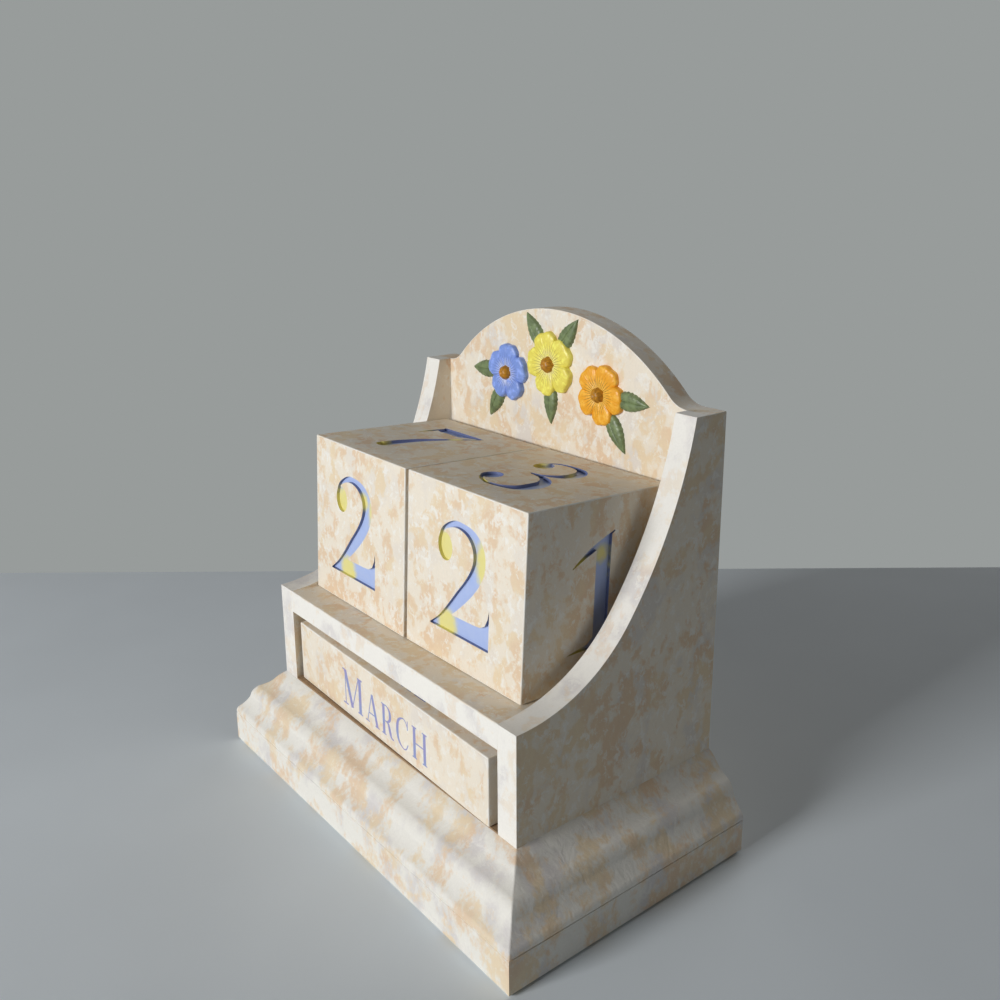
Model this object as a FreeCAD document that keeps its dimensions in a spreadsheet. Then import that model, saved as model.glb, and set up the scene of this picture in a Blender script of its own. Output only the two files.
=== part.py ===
import FreeCAD, Part
import math
import os
import Sketcher

# A block calendar for the desk: a printed board box on a stepped plinth. Two loose date cubes
# lean back on the sloping shelf, and three loose month bars lie one behind the other in the
# open slot under it. Millimetres, +Z up, the front towards -Y. The origin is the middle of the
# footprint, on the surface that the calendar stands on.

# Driving sizes: name, value and what it sets
SIZES = [
    ("board_thickness", 6.5, "side panels, back panel and shelf"),
    ("edge_break", 0.4, "rubbed-down edge of the boards"),
    ("cube_size", 45.0, "edge of a date cube"),
    ("cube_edge", 0.5, "rounding of a date cube's edges"),
    ("cube_play", 4.5, "room beside the two cubes, in all"),
    ("cube_side_gap", 0.3, "left cube to the left panel, and cube to cube at their closest"),
    ("left_cube_back_gap", 2.1, "top of the left cube to the back panel, measured along the shelf"),
    ("right_cube_back_gap", 1.5, "the same for the right cube, at its middle"),
    ("right_cube_twist", 0.95, "degrees that the right cube is turned by"),
    ("seat_gap", 0.15, "daylight under a loose cube or bar"),
    ("bar_width", 17.5, "section of a square month bar"),
    ("bar_edge", 0.5, "rounding of a month bar's long edges"),
    ("bar_end_play", 4.1, "room at the ends of a month bar, both ends together"),
    ("bar_gap", 0.3, "month bar to month bar"),
    ("bar_row_play", 5.0, "depth of the slot beyond three bars"),
    ("bar_headroom", 3.1, "slot height beyond a bar's section"),
    ("front_bar_recess", 0.4, "front bar's middle behind the box's front"),
    ("front_bar_twist", 1.2, "degrees that the front bar is turned by"),
    ("front_bar_shift", 0.4, "front bar off centre, to the left"),
    ("shelf_slope", 2.8, "degrees that the shelf falls towards the back"),
    ("panel_rise", 61.0, "shoulder above the shelf's front edge"),
    ("shoulder_depth", 10.5, "flat top of a side, from the rear face forward"),
    ("shoulder_lean", 11.0, "degrees off upright where the cove meets the shoulder"),
    ("arch_rise", 19.3, "top of the arch above the shoulders"),
    ("arch_fillet", 8.0, "hollow where the arch meets a shoulder"),
    ("slab_thickness", 9.5, "lower board of the plinth"),
    ("slab_foot_break", 0.8, "bevel round the slab's lower edge"),
    ("plinth_overhang", 11.8, "plinth beyond the box, front and sides"),
    ("core_thickness", 14.9, "board under the slot, which is the slot's floor"),
    ("moulding_drop", 0.4, "moulding's top below the slot's floor"),
    ("petal_reach", 4.6, "flower's middle to a petal's middle"),
    ("petal_length", 4.0, "half length of a petal"),
    ("petal_width", 3.7, "half width of a petal"),
    ("petal_height", 2.5, "height of a petal off the back panel"),
    ("eye_radius", 2.2, "button in a flower's middle"),
    ("eye_height", 3.5, "height of the button off the back panel"),
    ("flower_spacing", 18.6, "sideways from flower to flower"),
    ("flower_droop", 5.0, "outer flowers below the middle one"),
    ("spray_drop", 14.8, "middle flower below the top of the arch"),
    ("leaf_length", 12.0, "leaf from tip to tip"),
    ("leaf_width", 5.2, "leaf across its middle"),
    ("leaf_height", 1.7, "height of a leaf's rib off the back panel"),
    ("leaf_reach", 10.6, "flower's middle to a leaf's middle"),
    ("screw_radius", 1.75, "shank of a slab screw"),
    ("screw_head_radius", 3.5, "head of a slab screw"),
    ("screw_head_height", 2.0, "countersunk head"),
    ("screw_sink", 0.4, "head below the slab's underside"),
    ("screw_length", 20.0, "slab screw from head to tip"),
    ("screw_point", 4.0, "tapered tip of a slab screw"),
    ("screw_inset", 16.0, "slab screw in from the box's front and rear face"),
    ("screw_web", 3.0, "board left between a slab screw and the tips of the pins in the core"),
    ("screw_clearance", 0.1, "hole round a screw, on the radius"),
    ("pin_radius", 0.6, "headless panel pin"),
    ("pin_length", 16.0, "panel pin"),
    ("pin_cover", 0.8, "filler over a panel pin's end"),
    ("pin_clearance", 0.05, "hole round a pin, on the radius"),
    ("overrun", 1.0, "how far a cutting shape passes the face it cuts"),
]

PETALS = 5
BARS = 3
FULL_TURN = 360.0

# Two places closer than this are the same place
TOUCHING = 1e-4

# Radius of the cove's lower arc, as a share of the cove's run from front to shoulder
COVE_RADIUS_SHARE = 0.785

# Moulding profile from the wall down to the slab: out from the wall as a share of the overhang,
# up as a share of the moulding's height, and how far the edge that follows bows off its chord,
# as a share of the chord: below zero is hollow, above zero is full
MOULDING_SHARES = [
    (0.00, 1.00, 0.05),
    (0.27, 0.78, -0.05),
    (0.56, 0.62, 0.10),
    (0.72, 0.39, -0.05),
    (0.95, 0.13, 0.12),
    (1.00, 0.00, 0.0),
]

# Flowers: place along the spray, size as a share of the named petal sizes, and turn in degrees
FLOWERS = [
    ("flower_blue", -1, 1.0, 14.0),
    ("flower_yellow", 0, 1.12, 36.0),
    ("flower_amber", 1, 1.0, -8.0),
]

# Leaves: place of the flower that they grow from along the spray, and heading in degrees
LEAVES = [
    (-1, 182.0),
    (-1, 238.0),
    (0, 128.0),
    (0, 52.0),
    (0, 270.0),
    (1, -2.0),
    (1, -58.0),
]

# Heights of the panel pins in the back panel's sides, as shares of the panel's height
BACK_PIN_SHARES = [0.2, 0.45, 0.7]
# Places of the panel pins along the shelf and the core, as shares of their depth
SIDE_PIN_SHARES = [0.25, 0.75]


class Size:
    """A size with the formula that gives it: the value draws the shape, the formula binds it to the sheet."""

    def __init__(self, formula, value):
        self.formula = formula
        self.value = value

    def __add__(self, other):
        other = as_size(other)
        return Size(f"({self.formula} + {other.formula})", self.value + other.value)

    def __sub__(self, other):
        other = as_size(other)
        return Size(f"({self.formula} - {other.formula})", self.value - other.value)

    def __mul__(self, other):
        other = as_size(other)
        return Size(f"({self.formula} * {other.formula})", self.value * other.value)

    def __truediv__(self, other):
        other = as_size(other)
        return Size(f"({self.formula} / {other.formula})", self.value / other.value)

    def __neg__(self):
        return Size(f"(0 - {self.formula})", -self.value)

    __radd__ = __add__
    __rmul__ = __mul__


def as_size(number):
    return number if isinstance(number, Size) else Size(repr(float(number)), float(number))


def root(size):
    return Size(f"sqrt({size.formula})", math.sqrt(size.value))


def sine(degrees):
    return Size(f"sin({degrees.formula})", math.sin(math.radians(degrees.value)))


def cosine(degrees):
    return Size(f"cos({degrees.formula})", math.cos(math.radians(degrees.value)))


def tangent(degrees):
    return sine(degrees) / cosine(degrees)


def length(across, up):
    return root(across * across + up * up)


def bow_radius(start, end, bow_share):
    """Radius of the arc over the chord from start to end that bows off it by a share of its length."""
    chord = length(end[0] - start[0], end[1] - start[1])
    return chord * (1 / (8 * bow_share) + bow_share / 2)


doc = FreeCAD.newDocument("block_calendar")
sheet = doc.addObject("Spreadsheet::Sheet", "sizes")
for row, (alias, value, note) in enumerate(SIZES, start=1):
    sheet.set(f"A{row}", alias)
    sheet.set(f"B{row}", str(value))
    sheet.set(f"C{row}", note)
    sheet.setAlias(f"B{row}", alias)
doc.recompute()


def named(alias):
    return Size(f"sizes.{alias}", float(getattr(sheet, alias)))


board = named("board_thickness")
cube = named("cube_size")
overhang = named("plinth_overhang")
slab_top = named("slab_thickness")
bar_width = named("bar_width")
seat_gap = named("seat_gap")
slope = named("shelf_slope")
overrun = named("overrun")

# Box
inner_width = 2 * cube + named("cube_play")
box_width = inner_width + 2 * board
slot_depth = BARS * bar_width + named("bar_row_play")
box_depth = slot_depth + board
right_face = box_width / 2
front_face = (overhang - box_depth) / 2
back_inside = front_face + slot_depth
rear_face = back_inside + board

# Heights
slot_floor = slab_top + named("core_thickness")
slot_ceiling = slot_floor + bar_width + named("bar_headroom")
shelf_front = slot_ceiling + board
shoulder = shelf_front + named("panel_rise")
arch_top = shoulder + named("arch_rise")
moulding_top = slot_floor - named("moulding_drop")

parts = []


def sub_part(item, label):
    """Files a finished object as the node with this label."""
    item.Label = label
    parts.append(item)
    return item


def new_body(label):
    return doc.addObject("PartDesign::Body", label + "_body")


def sketch_on(body, role, offset=None):
    """A sketch on one of the body's own origin planes, moved along the plane's normal."""
    plane = next(f for f in body.Origin.OriginFeatures if f.Role == role)
    sketch = body.newObject("Sketcher::SketchObject", "outline")
    sketch.AttachmentSupport = [(plane, "")]
    sketch.MapMode = "FlatFace"
    if offset is not None:
        sketch.setExpression("AttachmentOffset.Base.z", offset.formula)
    return sketch


def arc_between(start, end, radius):
    """The arc under half a circle from start to end. A radius below zero lies left of the chord's way."""
    a = FreeCAD.Vector(start[0].value, start[1].value, 0)
    b = FreeCAD.Vector(end[0].value, end[1].value, 0)
    chord = b - a
    side = FreeCAD.Vector(-chord.y, chord.x, 0).normalize()
    depth = math.sqrt(max(radius.value**2 - (chord.Length / 2) ** 2, 0))
    centre = (a + b) / 2 + side * (depth if radius.value > 0 else -depth)
    first, last = (a, b) if radius.value > 0 else (b, a)
    angles = [math.atan2(p.y - centre.y, p.x - centre.x) for p in (first, last)]
    circle = Part.Circle(centre, FreeCAD.Vector(0, 0, 1), abs(radius.value))
    return Part.ArcOfCircle(circle, angles[0], angles[1])


def tie_point(sketch, geometry, end, point):
    """Ties one end of a line or arc to a point's two formulas."""
    for kind, size in (("DistanceX", point[0]), ("DistanceY", point[1])):
        number = sketch.addConstraint(Sketcher.Constraint(kind, -1, 1, geometry, end, size.value))
        sketch.setExpression(f"Constraints[{number}]", size.formula)


def draw(sketch, corners):
    """Closed anticlockwise outline. Each corner is across, up and the radius of the edge that leaves it:
    none is straight, above zero is full and below zero is hollow."""
    count = len(corners)
    ends = []
    for i, (across, up, radius) in enumerate(corners):
        after = corners[(i + 1) % count]
        start = (as_size(across), as_size(up))
        end = (as_size(after[0]), as_size(after[1]))
        if radius is None:
            line = Part.LineSegment(
                FreeCAD.Vector(start[0].value, start[1].value, 0),
                FreeCAD.Vector(end[0].value, end[1].value, 0),
            )
            number = sketch.addGeometry(line, False)
            ends.append((number, 1, 2))
        else:
            number = sketch.addGeometry(arc_between(start, end, radius), False)
            full = radius.value > 0
            ends.append((number, 1, 2) if full else (number, 2, 1))
            size = radius if full else -radius
            bend = sketch.addConstraint(Sketcher.Constraint("Radius", number, size.value))
            sketch.setExpression(f"Constraints[{bend}]", size.formula)
        tie_point(sketch, number, ends[-1][1], start)
    for i, (number, _, last) in enumerate(ends):
        after = ends[(i + 1) % count]
        sketch.addConstraint(Sketcher.Constraint("Coincident", number, last, after[0], after[1]))


def draw_box(sketch, left, right, bottom, top):
    draw(sketch, [(left, bottom, None), (right, bottom, None), (right, top, None), (left, top, None)])


def pad(body, sketch, size):
    feature = body.newObject("PartDesign::Pad", "pad")
    feature.Profile = sketch
    feature.setExpression("Length", size.formula)
    sketch.Visibility = False
    doc.recompute()
    return feature


def pocket(body, sketch, size):
    """Cuts a sketch into the solid, the way that takes material off."""
    before = body.Shape.Volume
    feature = body.newObject("PartDesign::Pocket", "pocket")
    feature.Profile = sketch
    feature.setExpression("Length", size.formula)
    doc.recompute()
    if abs(body.Shape.Volume - before) < TOUCHING:
        feature.Reversed = True
        doc.recompute()
    return feature


def edges_where(shape, test):
    """Names of the edges whose middle point passes the test."""
    middles = [e.valueAt((e.FirstParameter + e.LastParameter) / 2) for e in shape.Edges]
    return [f"Edge{number}" for number, middle in enumerate(middles, start=1) if test(middle)]


def break_edges(body, base, names, size, kind="PartDesign::Chamfer"):
    """Chamfers or rounds the named edges of a feature."""
    feature = body.newObject(kind, "edge_break")
    feature.Base = (base, names)
    feature.setExpression("Radius" if kind.endswith("Fillet") else "Size", size.formula)
    doc.recompute()
    return feature


def cylinder(radius, reach, centre, axis):
    """A plain cylinder from a point along an axis."""
    item = doc.addObject("Part::Cylinder", "cylinder")
    item.setExpression("Radius", radius.formula)
    item.setExpression("Height", reach.formula)
    turn = FreeCAD.Rotation(FreeCAD.Vector(0, 0, 1), FreeCAD.Vector(*axis))
    item.Placement = FreeCAD.Placement(FreeCAD.Vector(*(as_size(c).value for c in centre)), turn)
    for letter, place in zip("xyz", centre):
        item.setExpression(f"Placement.Base.{letter}", as_size(place).formula)
    return item


def fused(items, label):
    union = doc.addObject("Part::MultiFuse", label)
    union.Shapes = items
    return union


def cut(base, tools, label):
    """Base less the tools."""
    item = doc.addObject("Part::Cut", label)
    item.Base = base
    item.Tool = fused(tools, label + "_tools") if len(tools) > 1 else tools[0]
    doc.recompute()
    return item


# Screws and pins: where they stand, so that the boards can be bored for them


def screw_places():
    inset = named("screw_inset")
    pin_tip = right_face - named("pin_cover") - named("pin_length")
    side = pin_tip - named("screw_web") - named("screw_radius")
    return [(x, y) for x in (-side, side) for y in (front_face + inset, rear_face - inset)]


def shelf_middle(depth_share):
    """Height of the shelf's middle at a share of the slot's depth."""
    return shelf_front - board / 2 - slot_depth * depth_share * tangent(slope)


def pin_places():
    """Start point and axis of every panel pin, in the board that it is driven through."""
    cover = named("pin_cover")
    places = []
    for side in (-1, 1):
        start = side * (right_face - cover)
        for share in SIDE_PIN_SHARES:
            along = front_face + slot_depth * share
            places.append(((start, along, shelf_middle(share)), (-side, 0, 0)))
            places.append(((start, along, slab_top + named("core_thickness") / 2), (-side, 0, 0)))
        for share in BACK_PIN_SHARES:
            height = slab_top + (shoulder - slab_top) * share
            across = side * (right_face - board / 2)
            places.append(((across, rear_face - cover, height), (0, -1, 0)))
    return places


def pin_bores():
    """One boring tool for every panel pin."""
    radius = named("pin_radius") + named("pin_clearance")
    return [cylinder(radius, named("pin_length"), start, axis) for start, axis in pin_places()]


# Plinth


def base_slab():
    """Lower board: square-edged, a bevel round its foot, four countersunk holes from below."""
    body = new_body("base_slab")
    side = right_face + overhang
    sketch = sketch_on(body, "XY_Plane")
    draw_box(sketch, -side, side, front_face - overhang, rear_face)
    block = pad(body, sketch, slab_top)
    rear = rear_face.value - overrun.value
    front_and_sides = edges_where(body.Shape, lambda m: m.z > slab_top.value - TOUCHING and m.y < rear)
    upper = break_edges(body, block, front_and_sides, named("edge_break"))
    foot = edges_where(body.Shape, lambda m: m.z < TOUCHING)
    break_edges(body, upper, foot, named("slab_foot_break"))
    radius = named("screw_radius") + named("screw_clearance")
    head = named("screw_head_radius") + named("screw_clearance")
    sink = named("screw_sink")
    tools = []
    for x, y in screw_places():
        tools.append(cylinder(radius, slab_top + 2 * overrun, (x, y, -overrun), (0, 0, 1)))
        tools.append(cylinder(head, sink + overrun, (x, y, -overrun), (0, 0, 1)))
        cone = doc.addObject("Part::Cone", "countersink")
        cone.setExpression("Radius1", head.formula)
        cone.setExpression("Radius2", radius.formula)
        cone.setExpression("Height", named("screw_head_height").formula)
        for letter, place in zip("xyz", (x, y, sink)):
            cone.setExpression(f"Placement.Base.{letter}", place.formula)
        tools.append(cone)
    return sub_part(cut(body, tools, "base_slab"), "base_slab")


def plinth_core(bores):
    """Thick board between the side panels: its top is the slot's floor."""
    body = new_body("plinth_core")
    sketch = sketch_on(body, "XY_Plane", slab_top)
    draw_box(sketch, -inner_width / 2, inner_width / 2, front_face, back_inside)
    pad(body, sketch, named("core_thickness"))
    radius = named("screw_radius") + named("screw_clearance")
    reach = named("screw_sink") + named("screw_length") + named("screw_clearance") - slab_top
    pilots = [
        cylinder(radius, reach + overrun, (x, y, slab_top - overrun), (0, 0, 1))
        for x, y in screw_places()
    ]
    return sub_part(cut(body, pilots + bores, "plinth_core"), "plinth_core")


def moulding_profile(sketch, wall, way):
    """The stepped ogee, outwards from a wall at this place. way is -1 or 1, the outward direction."""
    height = moulding_top - slab_top
    points = [(wall + way * out * overhang, slab_top + height * up) for out, up, _ in MOULDING_SHARES]
    corners = []
    for i, (across, up) in enumerate(points):
        bow_share = MOULDING_SHARES[i][2]
        radius = None
        if bow_share:
            radius = bow_radius(points[i], points[i + 1], abs(bow_share))
            radius = radius if bow_share > 0 else -radius
        corners.append((across, up, radius))
    corners.append((wall, slab_top, None))
    if way > 0:
        # Clockwise as listed, so it is turned round: each edge keeps its own radius
        radii = [c[2] for c in corners]
        corners = [(c[0], c[1], radii[i - 1]) for i, c in enumerate(corners)][::-1]
    draw(sketch, corners)


def moulding_front():
    """Front moulding, mitred at both ends."""
    body = new_body("moulding_front")
    side = right_face + overhang
    sketch = sketch_on(body, "YZ_Plane", -side)
    moulding_profile(sketch, front_face, -1)
    pad(body, sketch, 2 * side)
    for way in (-1, 1):
        waste = sketch_on(body, "XY_Plane", slab_top)
        near = way * right_face
        far = way * (side + overrun)
        wedge = [
            (near, front_face, None),
            (far, front_face - overhang - overrun, None),
            (far, front_face + overrun, None),
            (near, front_face + overrun, None),
        ]
        draw(waste, wedge if way > 0 else wedge[::-1])
        pocket(body, waste, moulding_top)
    return sub_part(body, "moulding_front")


def moulding_side(label, way):
    """Side moulding, mitred at the front and square at the back."""
    body = new_body(label)
    sketch = sketch_on(body, "XZ_Plane", -rear_face)
    moulding_profile(sketch, way * right_face, way)
    pad(body, sketch, box_depth + overhang)
    waste = sketch_on(body, "XY_Plane", slab_top)
    near = way * (right_face - overrun)
    far = way * (right_face + overhang + overrun)
    wedge = [
        (near, front_face + overrun, None),
        (near, front_face - overhang - overrun, None),
        (far, front_face - overhang - overrun, None),
    ]
    draw(waste, wedge if way > 0 else wedge[::-1])
    pocket(body, waste, moulding_top)
    return sub_part(body, label)


# Box


def side_panel(label, way, bores):
    """Side panel: the front edge sweeps up from the shelf to the shoulder in two tangent arcs."""
    body = new_body(label)
    start = right_face - board if way > 0 else -right_face
    sketch = sketch_on(body, "YZ_Plane", start)
    shoulder_front = rear_face - named("shoulder_depth")
    run = shoulder_front - front_face
    low_radius = COVE_RADIUS_SHARE * run
    centre_y = front_face
    centre_z = shelf_front + low_radius
    off_y = shoulder_front - centre_y
    off_z = shoulder - centre_z
    # Unit vector from the shoulder's front corner towards the upper arc's centre
    lean = named("shoulder_lean")
    to_y = -cosine(lean)
    to_z = sine(lean)
    square = off_y * off_y + off_z * off_z
    inward = off_y * to_y + off_z * to_z
    high_radius = (square - low_radius * low_radius) / (-2 * (inward + low_radius))
    high_y = shoulder_front + high_radius * to_y
    high_z = shoulder + high_radius * to_z
    # The arcs meet on the line through their centres, beyond the lower one
    share = low_radius / (high_radius - low_radius)
    meet_y = centre_y + (centre_y - high_y) * share
    meet_z = centre_z + (centre_z - high_z) * share
    draw(
        sketch,
        [
            (front_face, slab_top, None),
            (back_inside, slab_top, None),
            (back_inside, shoulder, None),
            (shoulder_front, shoulder, -high_radius),
            (meet_y, meet_z, -low_radius),
            (front_face, shelf_front, None),
        ],
    )
    pad(body, sketch, board)
    return sub_part(cut(body, bores, label), label)


def back_panel(bores):
    """Back panel: full width, shoulders level with the sides, an arch that springs from their inner faces."""
    body = new_body("back_panel")
    sketch = sketch_on(body, "XZ_Plane", -rear_face)
    foot = inner_width / 2
    rise = named("arch_rise")
    reach = (foot * foot + rise * rise) / (2 * rise)
    fillet = named("arch_fillet")
    radius = reach - fillet
    centre = arch_top - radius
    touch_x = foot * radius / reach
    touch_z = centre + (reach - rise) * radius / reach
    draw(
        sketch,
        [
            (-right_face, slab_top, None),
            (right_face, slab_top, None),
            (right_face, shoulder, None),
            (foot, shoulder, -fillet),
            (touch_x, touch_z, radius),
            (-touch_x, touch_z, -fillet),
            (-foot, shoulder, None),
            (-right_face, shoulder, None),
        ],
    )
    pad(body, sketch, board)
    return sub_part(cut(body, bores, "back_panel"), "back_panel")


def shelf(bores):
    """Shelf between the sides, falling towards the back, its front edge upright and flush."""
    body = new_body("shelf")
    sketch = sketch_on(body, "YZ_Plane", -inner_width / 2)
    fall = slot_depth * tangent(slope)
    draw(
        sketch,
        [
            (front_face, slot_ceiling, None),
            (back_inside, slot_ceiling - fall, None),
            (back_inside, shelf_front - fall, None),
            (front_face, shelf_front, None),
        ],
    )
    pad(body, sketch, inner_width)
    return sub_part(cut(body, bores, "shelf"), "shelf")


# Loose cubes and bars


def rounded_block(label, across, deep, high, edge):
    """A block round the Z axis, standing on Z = 0, with all its edges rounded alike."""
    body = new_body(label)
    sketch = sketch_on(body, "XY_Plane")
    draw_box(sketch, -across / 2, across / 2, -deep / 2, deep / 2)
    block = pad(body, sketch, high)
    every_edge = edges_where(body.Shape, lambda m: True)
    break_edges(body, block, every_edge, edge, "PartDesign::Fillet")
    return sub_part(body, label)


def date_cube(label, across, back_gap, twist):
    """A date cube seated on the sloping shelf, its middle at this place across."""
    item = rounded_block(label, cube, cube, cube, named("cube_edge"))
    tilt = slope.value
    half = cube.value / 2
    # Along the shelf, from the top rear edge forward to the cube's middle
    lean = cube.value * math.tan(math.radians(tilt))
    along = slot_depth.value / math.cos(math.radians(tilt)) - lean - back_gap.value - half
    y = front_face.value + along * math.cos(math.radians(tilt))
    z = shelf_front.value - along * math.sin(math.radians(tilt))
    rise = seat_gap.value
    y += rise * math.sin(math.radians(tilt))
    z += rise * math.cos(math.radians(tilt))
    turn = FreeCAD.Rotation(FreeCAD.Vector(1, 0, 0), -tilt)
    turn = turn * FreeCAD.Rotation(FreeCAD.Vector(0, 0, 1), twist)
    item.Placement = FreeCAD.Placement(FreeCAD.Vector(across.value, y, z), turn)
    return item


def date_cubes():
    """The left cube stands by the left panel. The right one is turned, its rear corner close to the left one."""
    gap = named("cube_side_gap")
    left_middle = -inner_width / 2 + gap + cube / 2
    date_cube("date_cube_left", left_middle, named("left_cube_back_gap"), 0.0)
    twist = named("right_cube_twist")
    reach = cube / 2 * (sine(twist) + cosine(twist))
    right_middle = left_middle + cube / 2 + gap + reach
    date_cube("date_cube_right", right_middle, named("right_cube_back_gap"), twist.value)


def month_bars():
    """Three square bars in the slot: the front one a little askew, the others straight behind it."""
    bar_length = inner_width - named("bar_end_play")
    twist = named("front_bar_twist")
    recess = named("front_bar_recess")
    gap = named("bar_gap")
    skew = bar_length / 2 * sine(twist) + bar_width / 2 * (cosine(twist) - 1)
    places = [
        ("month_bar_front", -named("front_bar_shift"), recess + bar_width / 2, -twist.value),
    ]
    depth = recess + bar_width + skew + gap
    for label in ("month_bar_middle", "month_bar_rear"):
        places.append((label, as_size(0), depth + bar_width / 2, 0.0))
        depth = depth + bar_width + gap
    for label, across, along, turn in places:
        item = rounded_block(label, bar_length, bar_width, bar_width, named("bar_edge"))
        spot = FreeCAD.Vector(across.value, (front_face + along).value, (slot_floor + seat_gap).value)
        item.Placement = FreeCAD.Placement(spot, FreeCAD.Rotation(FreeCAD.Vector(0, 0, 1), turn))


# Relief on the back panel


def half_dome(radius_along, radius_across, height):
    """Half an ellipsoid on its flat side: along X, across Y, up Z."""
    dome = doc.addObject("Part::Ellipsoid", "dome")
    dome.setExpression("Radius1", height.formula)
    dome.setExpression("Radius2", radius_along.formula)
    dome.setExpression("Radius3", radius_across.formula)
    dome.Angle1 = 0
    dome.Angle2 = 90
    return dome


def on_panel(item, x, z):
    """Stands a relief, modelled flat on XY, on the back panel's front."""
    item.Placement = FreeCAD.Placement(
        FreeCAD.Vector(x.value, back_inside.value, z.value),
        FreeCAD.Rotation(FreeCAD.Vector(1, 0, 0), 90),
    )


def flower_place(place):
    """Middle of a flower on the panel: the spray hangs in a gentle bow."""
    x = place * named("flower_spacing")
    z = arch_top - named("spray_drop") - abs(place) * named("flower_droop")
    return as_size(x), z


def flower(label, place, size_share, turn):
    """Five domed petals that run into each other, and a button in the middle."""
    reach = named("petal_reach") * size_share
    petals = []
    for i in range(PETALS):
        petal = half_dome(
            named("petal_length") * size_share,
            named("petal_width") * size_share,
            named("petal_height"),
        )
        heading = turn + FULL_TURN * i / PETALS
        angle = math.radians(heading)
        spot = FreeCAD.Vector(reach.value * math.cos(angle), reach.value * math.sin(angle), 0)
        petal.Placement = FreeCAD.Placement(spot, FreeCAD.Rotation(FreeCAD.Vector(0, 0, 1), heading))
        petals.append(petal)
    eye = named("eye_radius") * size_share
    petals.append(half_dome(eye, eye, named("eye_height")))
    item = fused(petals, label)
    item.Refine = True
    x, z = flower_place(place)
    on_panel(item, x, z)
    doc.recompute()
    return sub_part(item, label)


def leaf(place, heading):
    """A pointed leaf with a raised rib: what two domes side by side have in common."""
    half_length = named("leaf_length") / 2
    half_width = named("leaf_width") / 2
    radius = (half_length * half_length + half_width * half_width) / (2 * half_width)
    offset = radius - half_width
    height = named("leaf_height") * radius / half_length
    domes = []
    for way in (-1, 1):
        dome = half_dome(radius, radius, height)
        dome.setExpression("Placement.Base.y", (way * offset).formula)
        domes.append(dome)
    item = doc.addObject("Part::Common", "leaf")
    item.Base = domes[0]
    item.Tool = domes[1]
    doc.recompute()
    x, z = flower_place(place)
    reach = named("leaf_reach")
    angle = math.radians(heading)
    on_panel(item, x + reach * math.cos(angle), z + reach * math.sin(angle))
    about = FreeCAD.Rotation(FreeCAD.Vector(0, 0, 1), heading)
    item.Placement = FreeCAD.Placement(item.Placement.Base, item.Placement.Rotation * about)
    doc.recompute()
    return item


def leaves(flowers):
    """Seven leaves that show from under the flowers, cut to the petals' edges."""
    group = doc.addObject("Part::Compound", "leaf_group")
    group.Links = [leaf(place, heading) for place, heading in LEAVES]
    doc.recompute()
    return sub_part(cut(group, [fused(flowers, "flower_tools")], "leaves"), "leaves")


# Screws and pins


def slab_screws():
    """Four countersunk screws that hold the slab to the core, turned from one profile."""
    head = named("screw_head_radius")
    shank = named("screw_radius")
    top = named("screw_length")
    taper = top - named("screw_point")
    screws = []
    for x, y in screw_places():
        body = new_body("slab_screw")
        sketch = sketch_on(body, "XZ_Plane")
        draw(
            sketch,
            [
                (0, 0, None),
                (head, 0, None),
                (shank, named("screw_head_height"), None),
                (shank, taper, None),
                (0, top, None),
            ],
        )
        turned = body.newObject("PartDesign::Revolution", "turned")
        turned.Profile = sketch
        turned.ReferenceAxis = (sketch, ["V_Axis"])
        turned.Angle = FULL_TURN
        doc.recompute()
        spot = FreeCAD.Vector(x.value, y.value, named("screw_sink").value)
        body.Placement = FreeCAD.Placement(spot, FreeCAD.Rotation())
        screws.append(body)
    group = doc.addObject("Part::Compound", "slab_screws")
    group.Links = screws
    doc.recompute()
    return sub_part(group, "slab_screws")


def pin_nails():
    """Headless panel pins: through the sides into the shelf and core, through the back into the sides."""
    group = doc.addObject("Part::Compound", "pin_nails")
    radius = named("pin_radius")
    reach = named("pin_length") - named("pin_clearance")
    group.Links = [cylinder(radius, reach, start, axis) for start, axis in pin_places()]
    doc.recompute()
    return sub_part(group, "pin_nails")


bores = pin_bores()
base_slab()
plinth_core(bores)
moulding_front()
moulding_side("moulding_left", -1)
moulding_side("moulding_right", 1)
side_panel("side_panel_left", -1, bores)
side_panel("side_panel_right", 1, bores)
back_panel(bores)
shelf(bores)
date_cubes()
month_bars()
flowers = [flower(*facts) for facts in FLOWERS]
leaves(flowers)
slab_screws()
pin_nails()
doc.recompute()

# Nothing is written unless every object is whole
for item in doc.Objects:
    if "Invalid" in item.State or "Error" in item.State:
        raise RuntimeError(f"{item.Label} failed: {item.State}")
for item in parts:
    if item.Shape.isNull() or not item.Shape.isValid() or item.Shape.Volume <= 0:
        raise RuntimeError(f"{item.Label} has no sound shape")

os.makedirs("parts", exist_ok=True)
for item in parts:
    item.Shape.exportStep(f"parts/{item.Label}.step")
    box = item.Shape.BoundBox
    print(
        f"{item.Label}: {len(item.Shape.Solids)} solid(s), volume {item.Shape.Volume:.0f}, "
        f"x {box.XMin:.2f}..{box.XMax:.2f} y {box.YMin:.2f}..{box.YMax:.2f} z {box.ZMin:.2f}..{box.ZMax:.2f}"
    )
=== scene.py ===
"""Looks of a block calendar for the desk: printed fibreboard, two engraved date cubes and three month bars.

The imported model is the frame. Every piece is worked out in metres in the model's own place, +Z up and the
front towards -Y, and rides on one of its bodies.
"""

import math
from contextlib import contextmanager
from functools import cache

import bmesh
import bpy
import numpy as np
from bpy.props import FloatProperty, FloatVectorProperty, PointerProperty
from mathutils import Matrix, Vector
from mathutils.geometry import delaunay_2d_cdt


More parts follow.
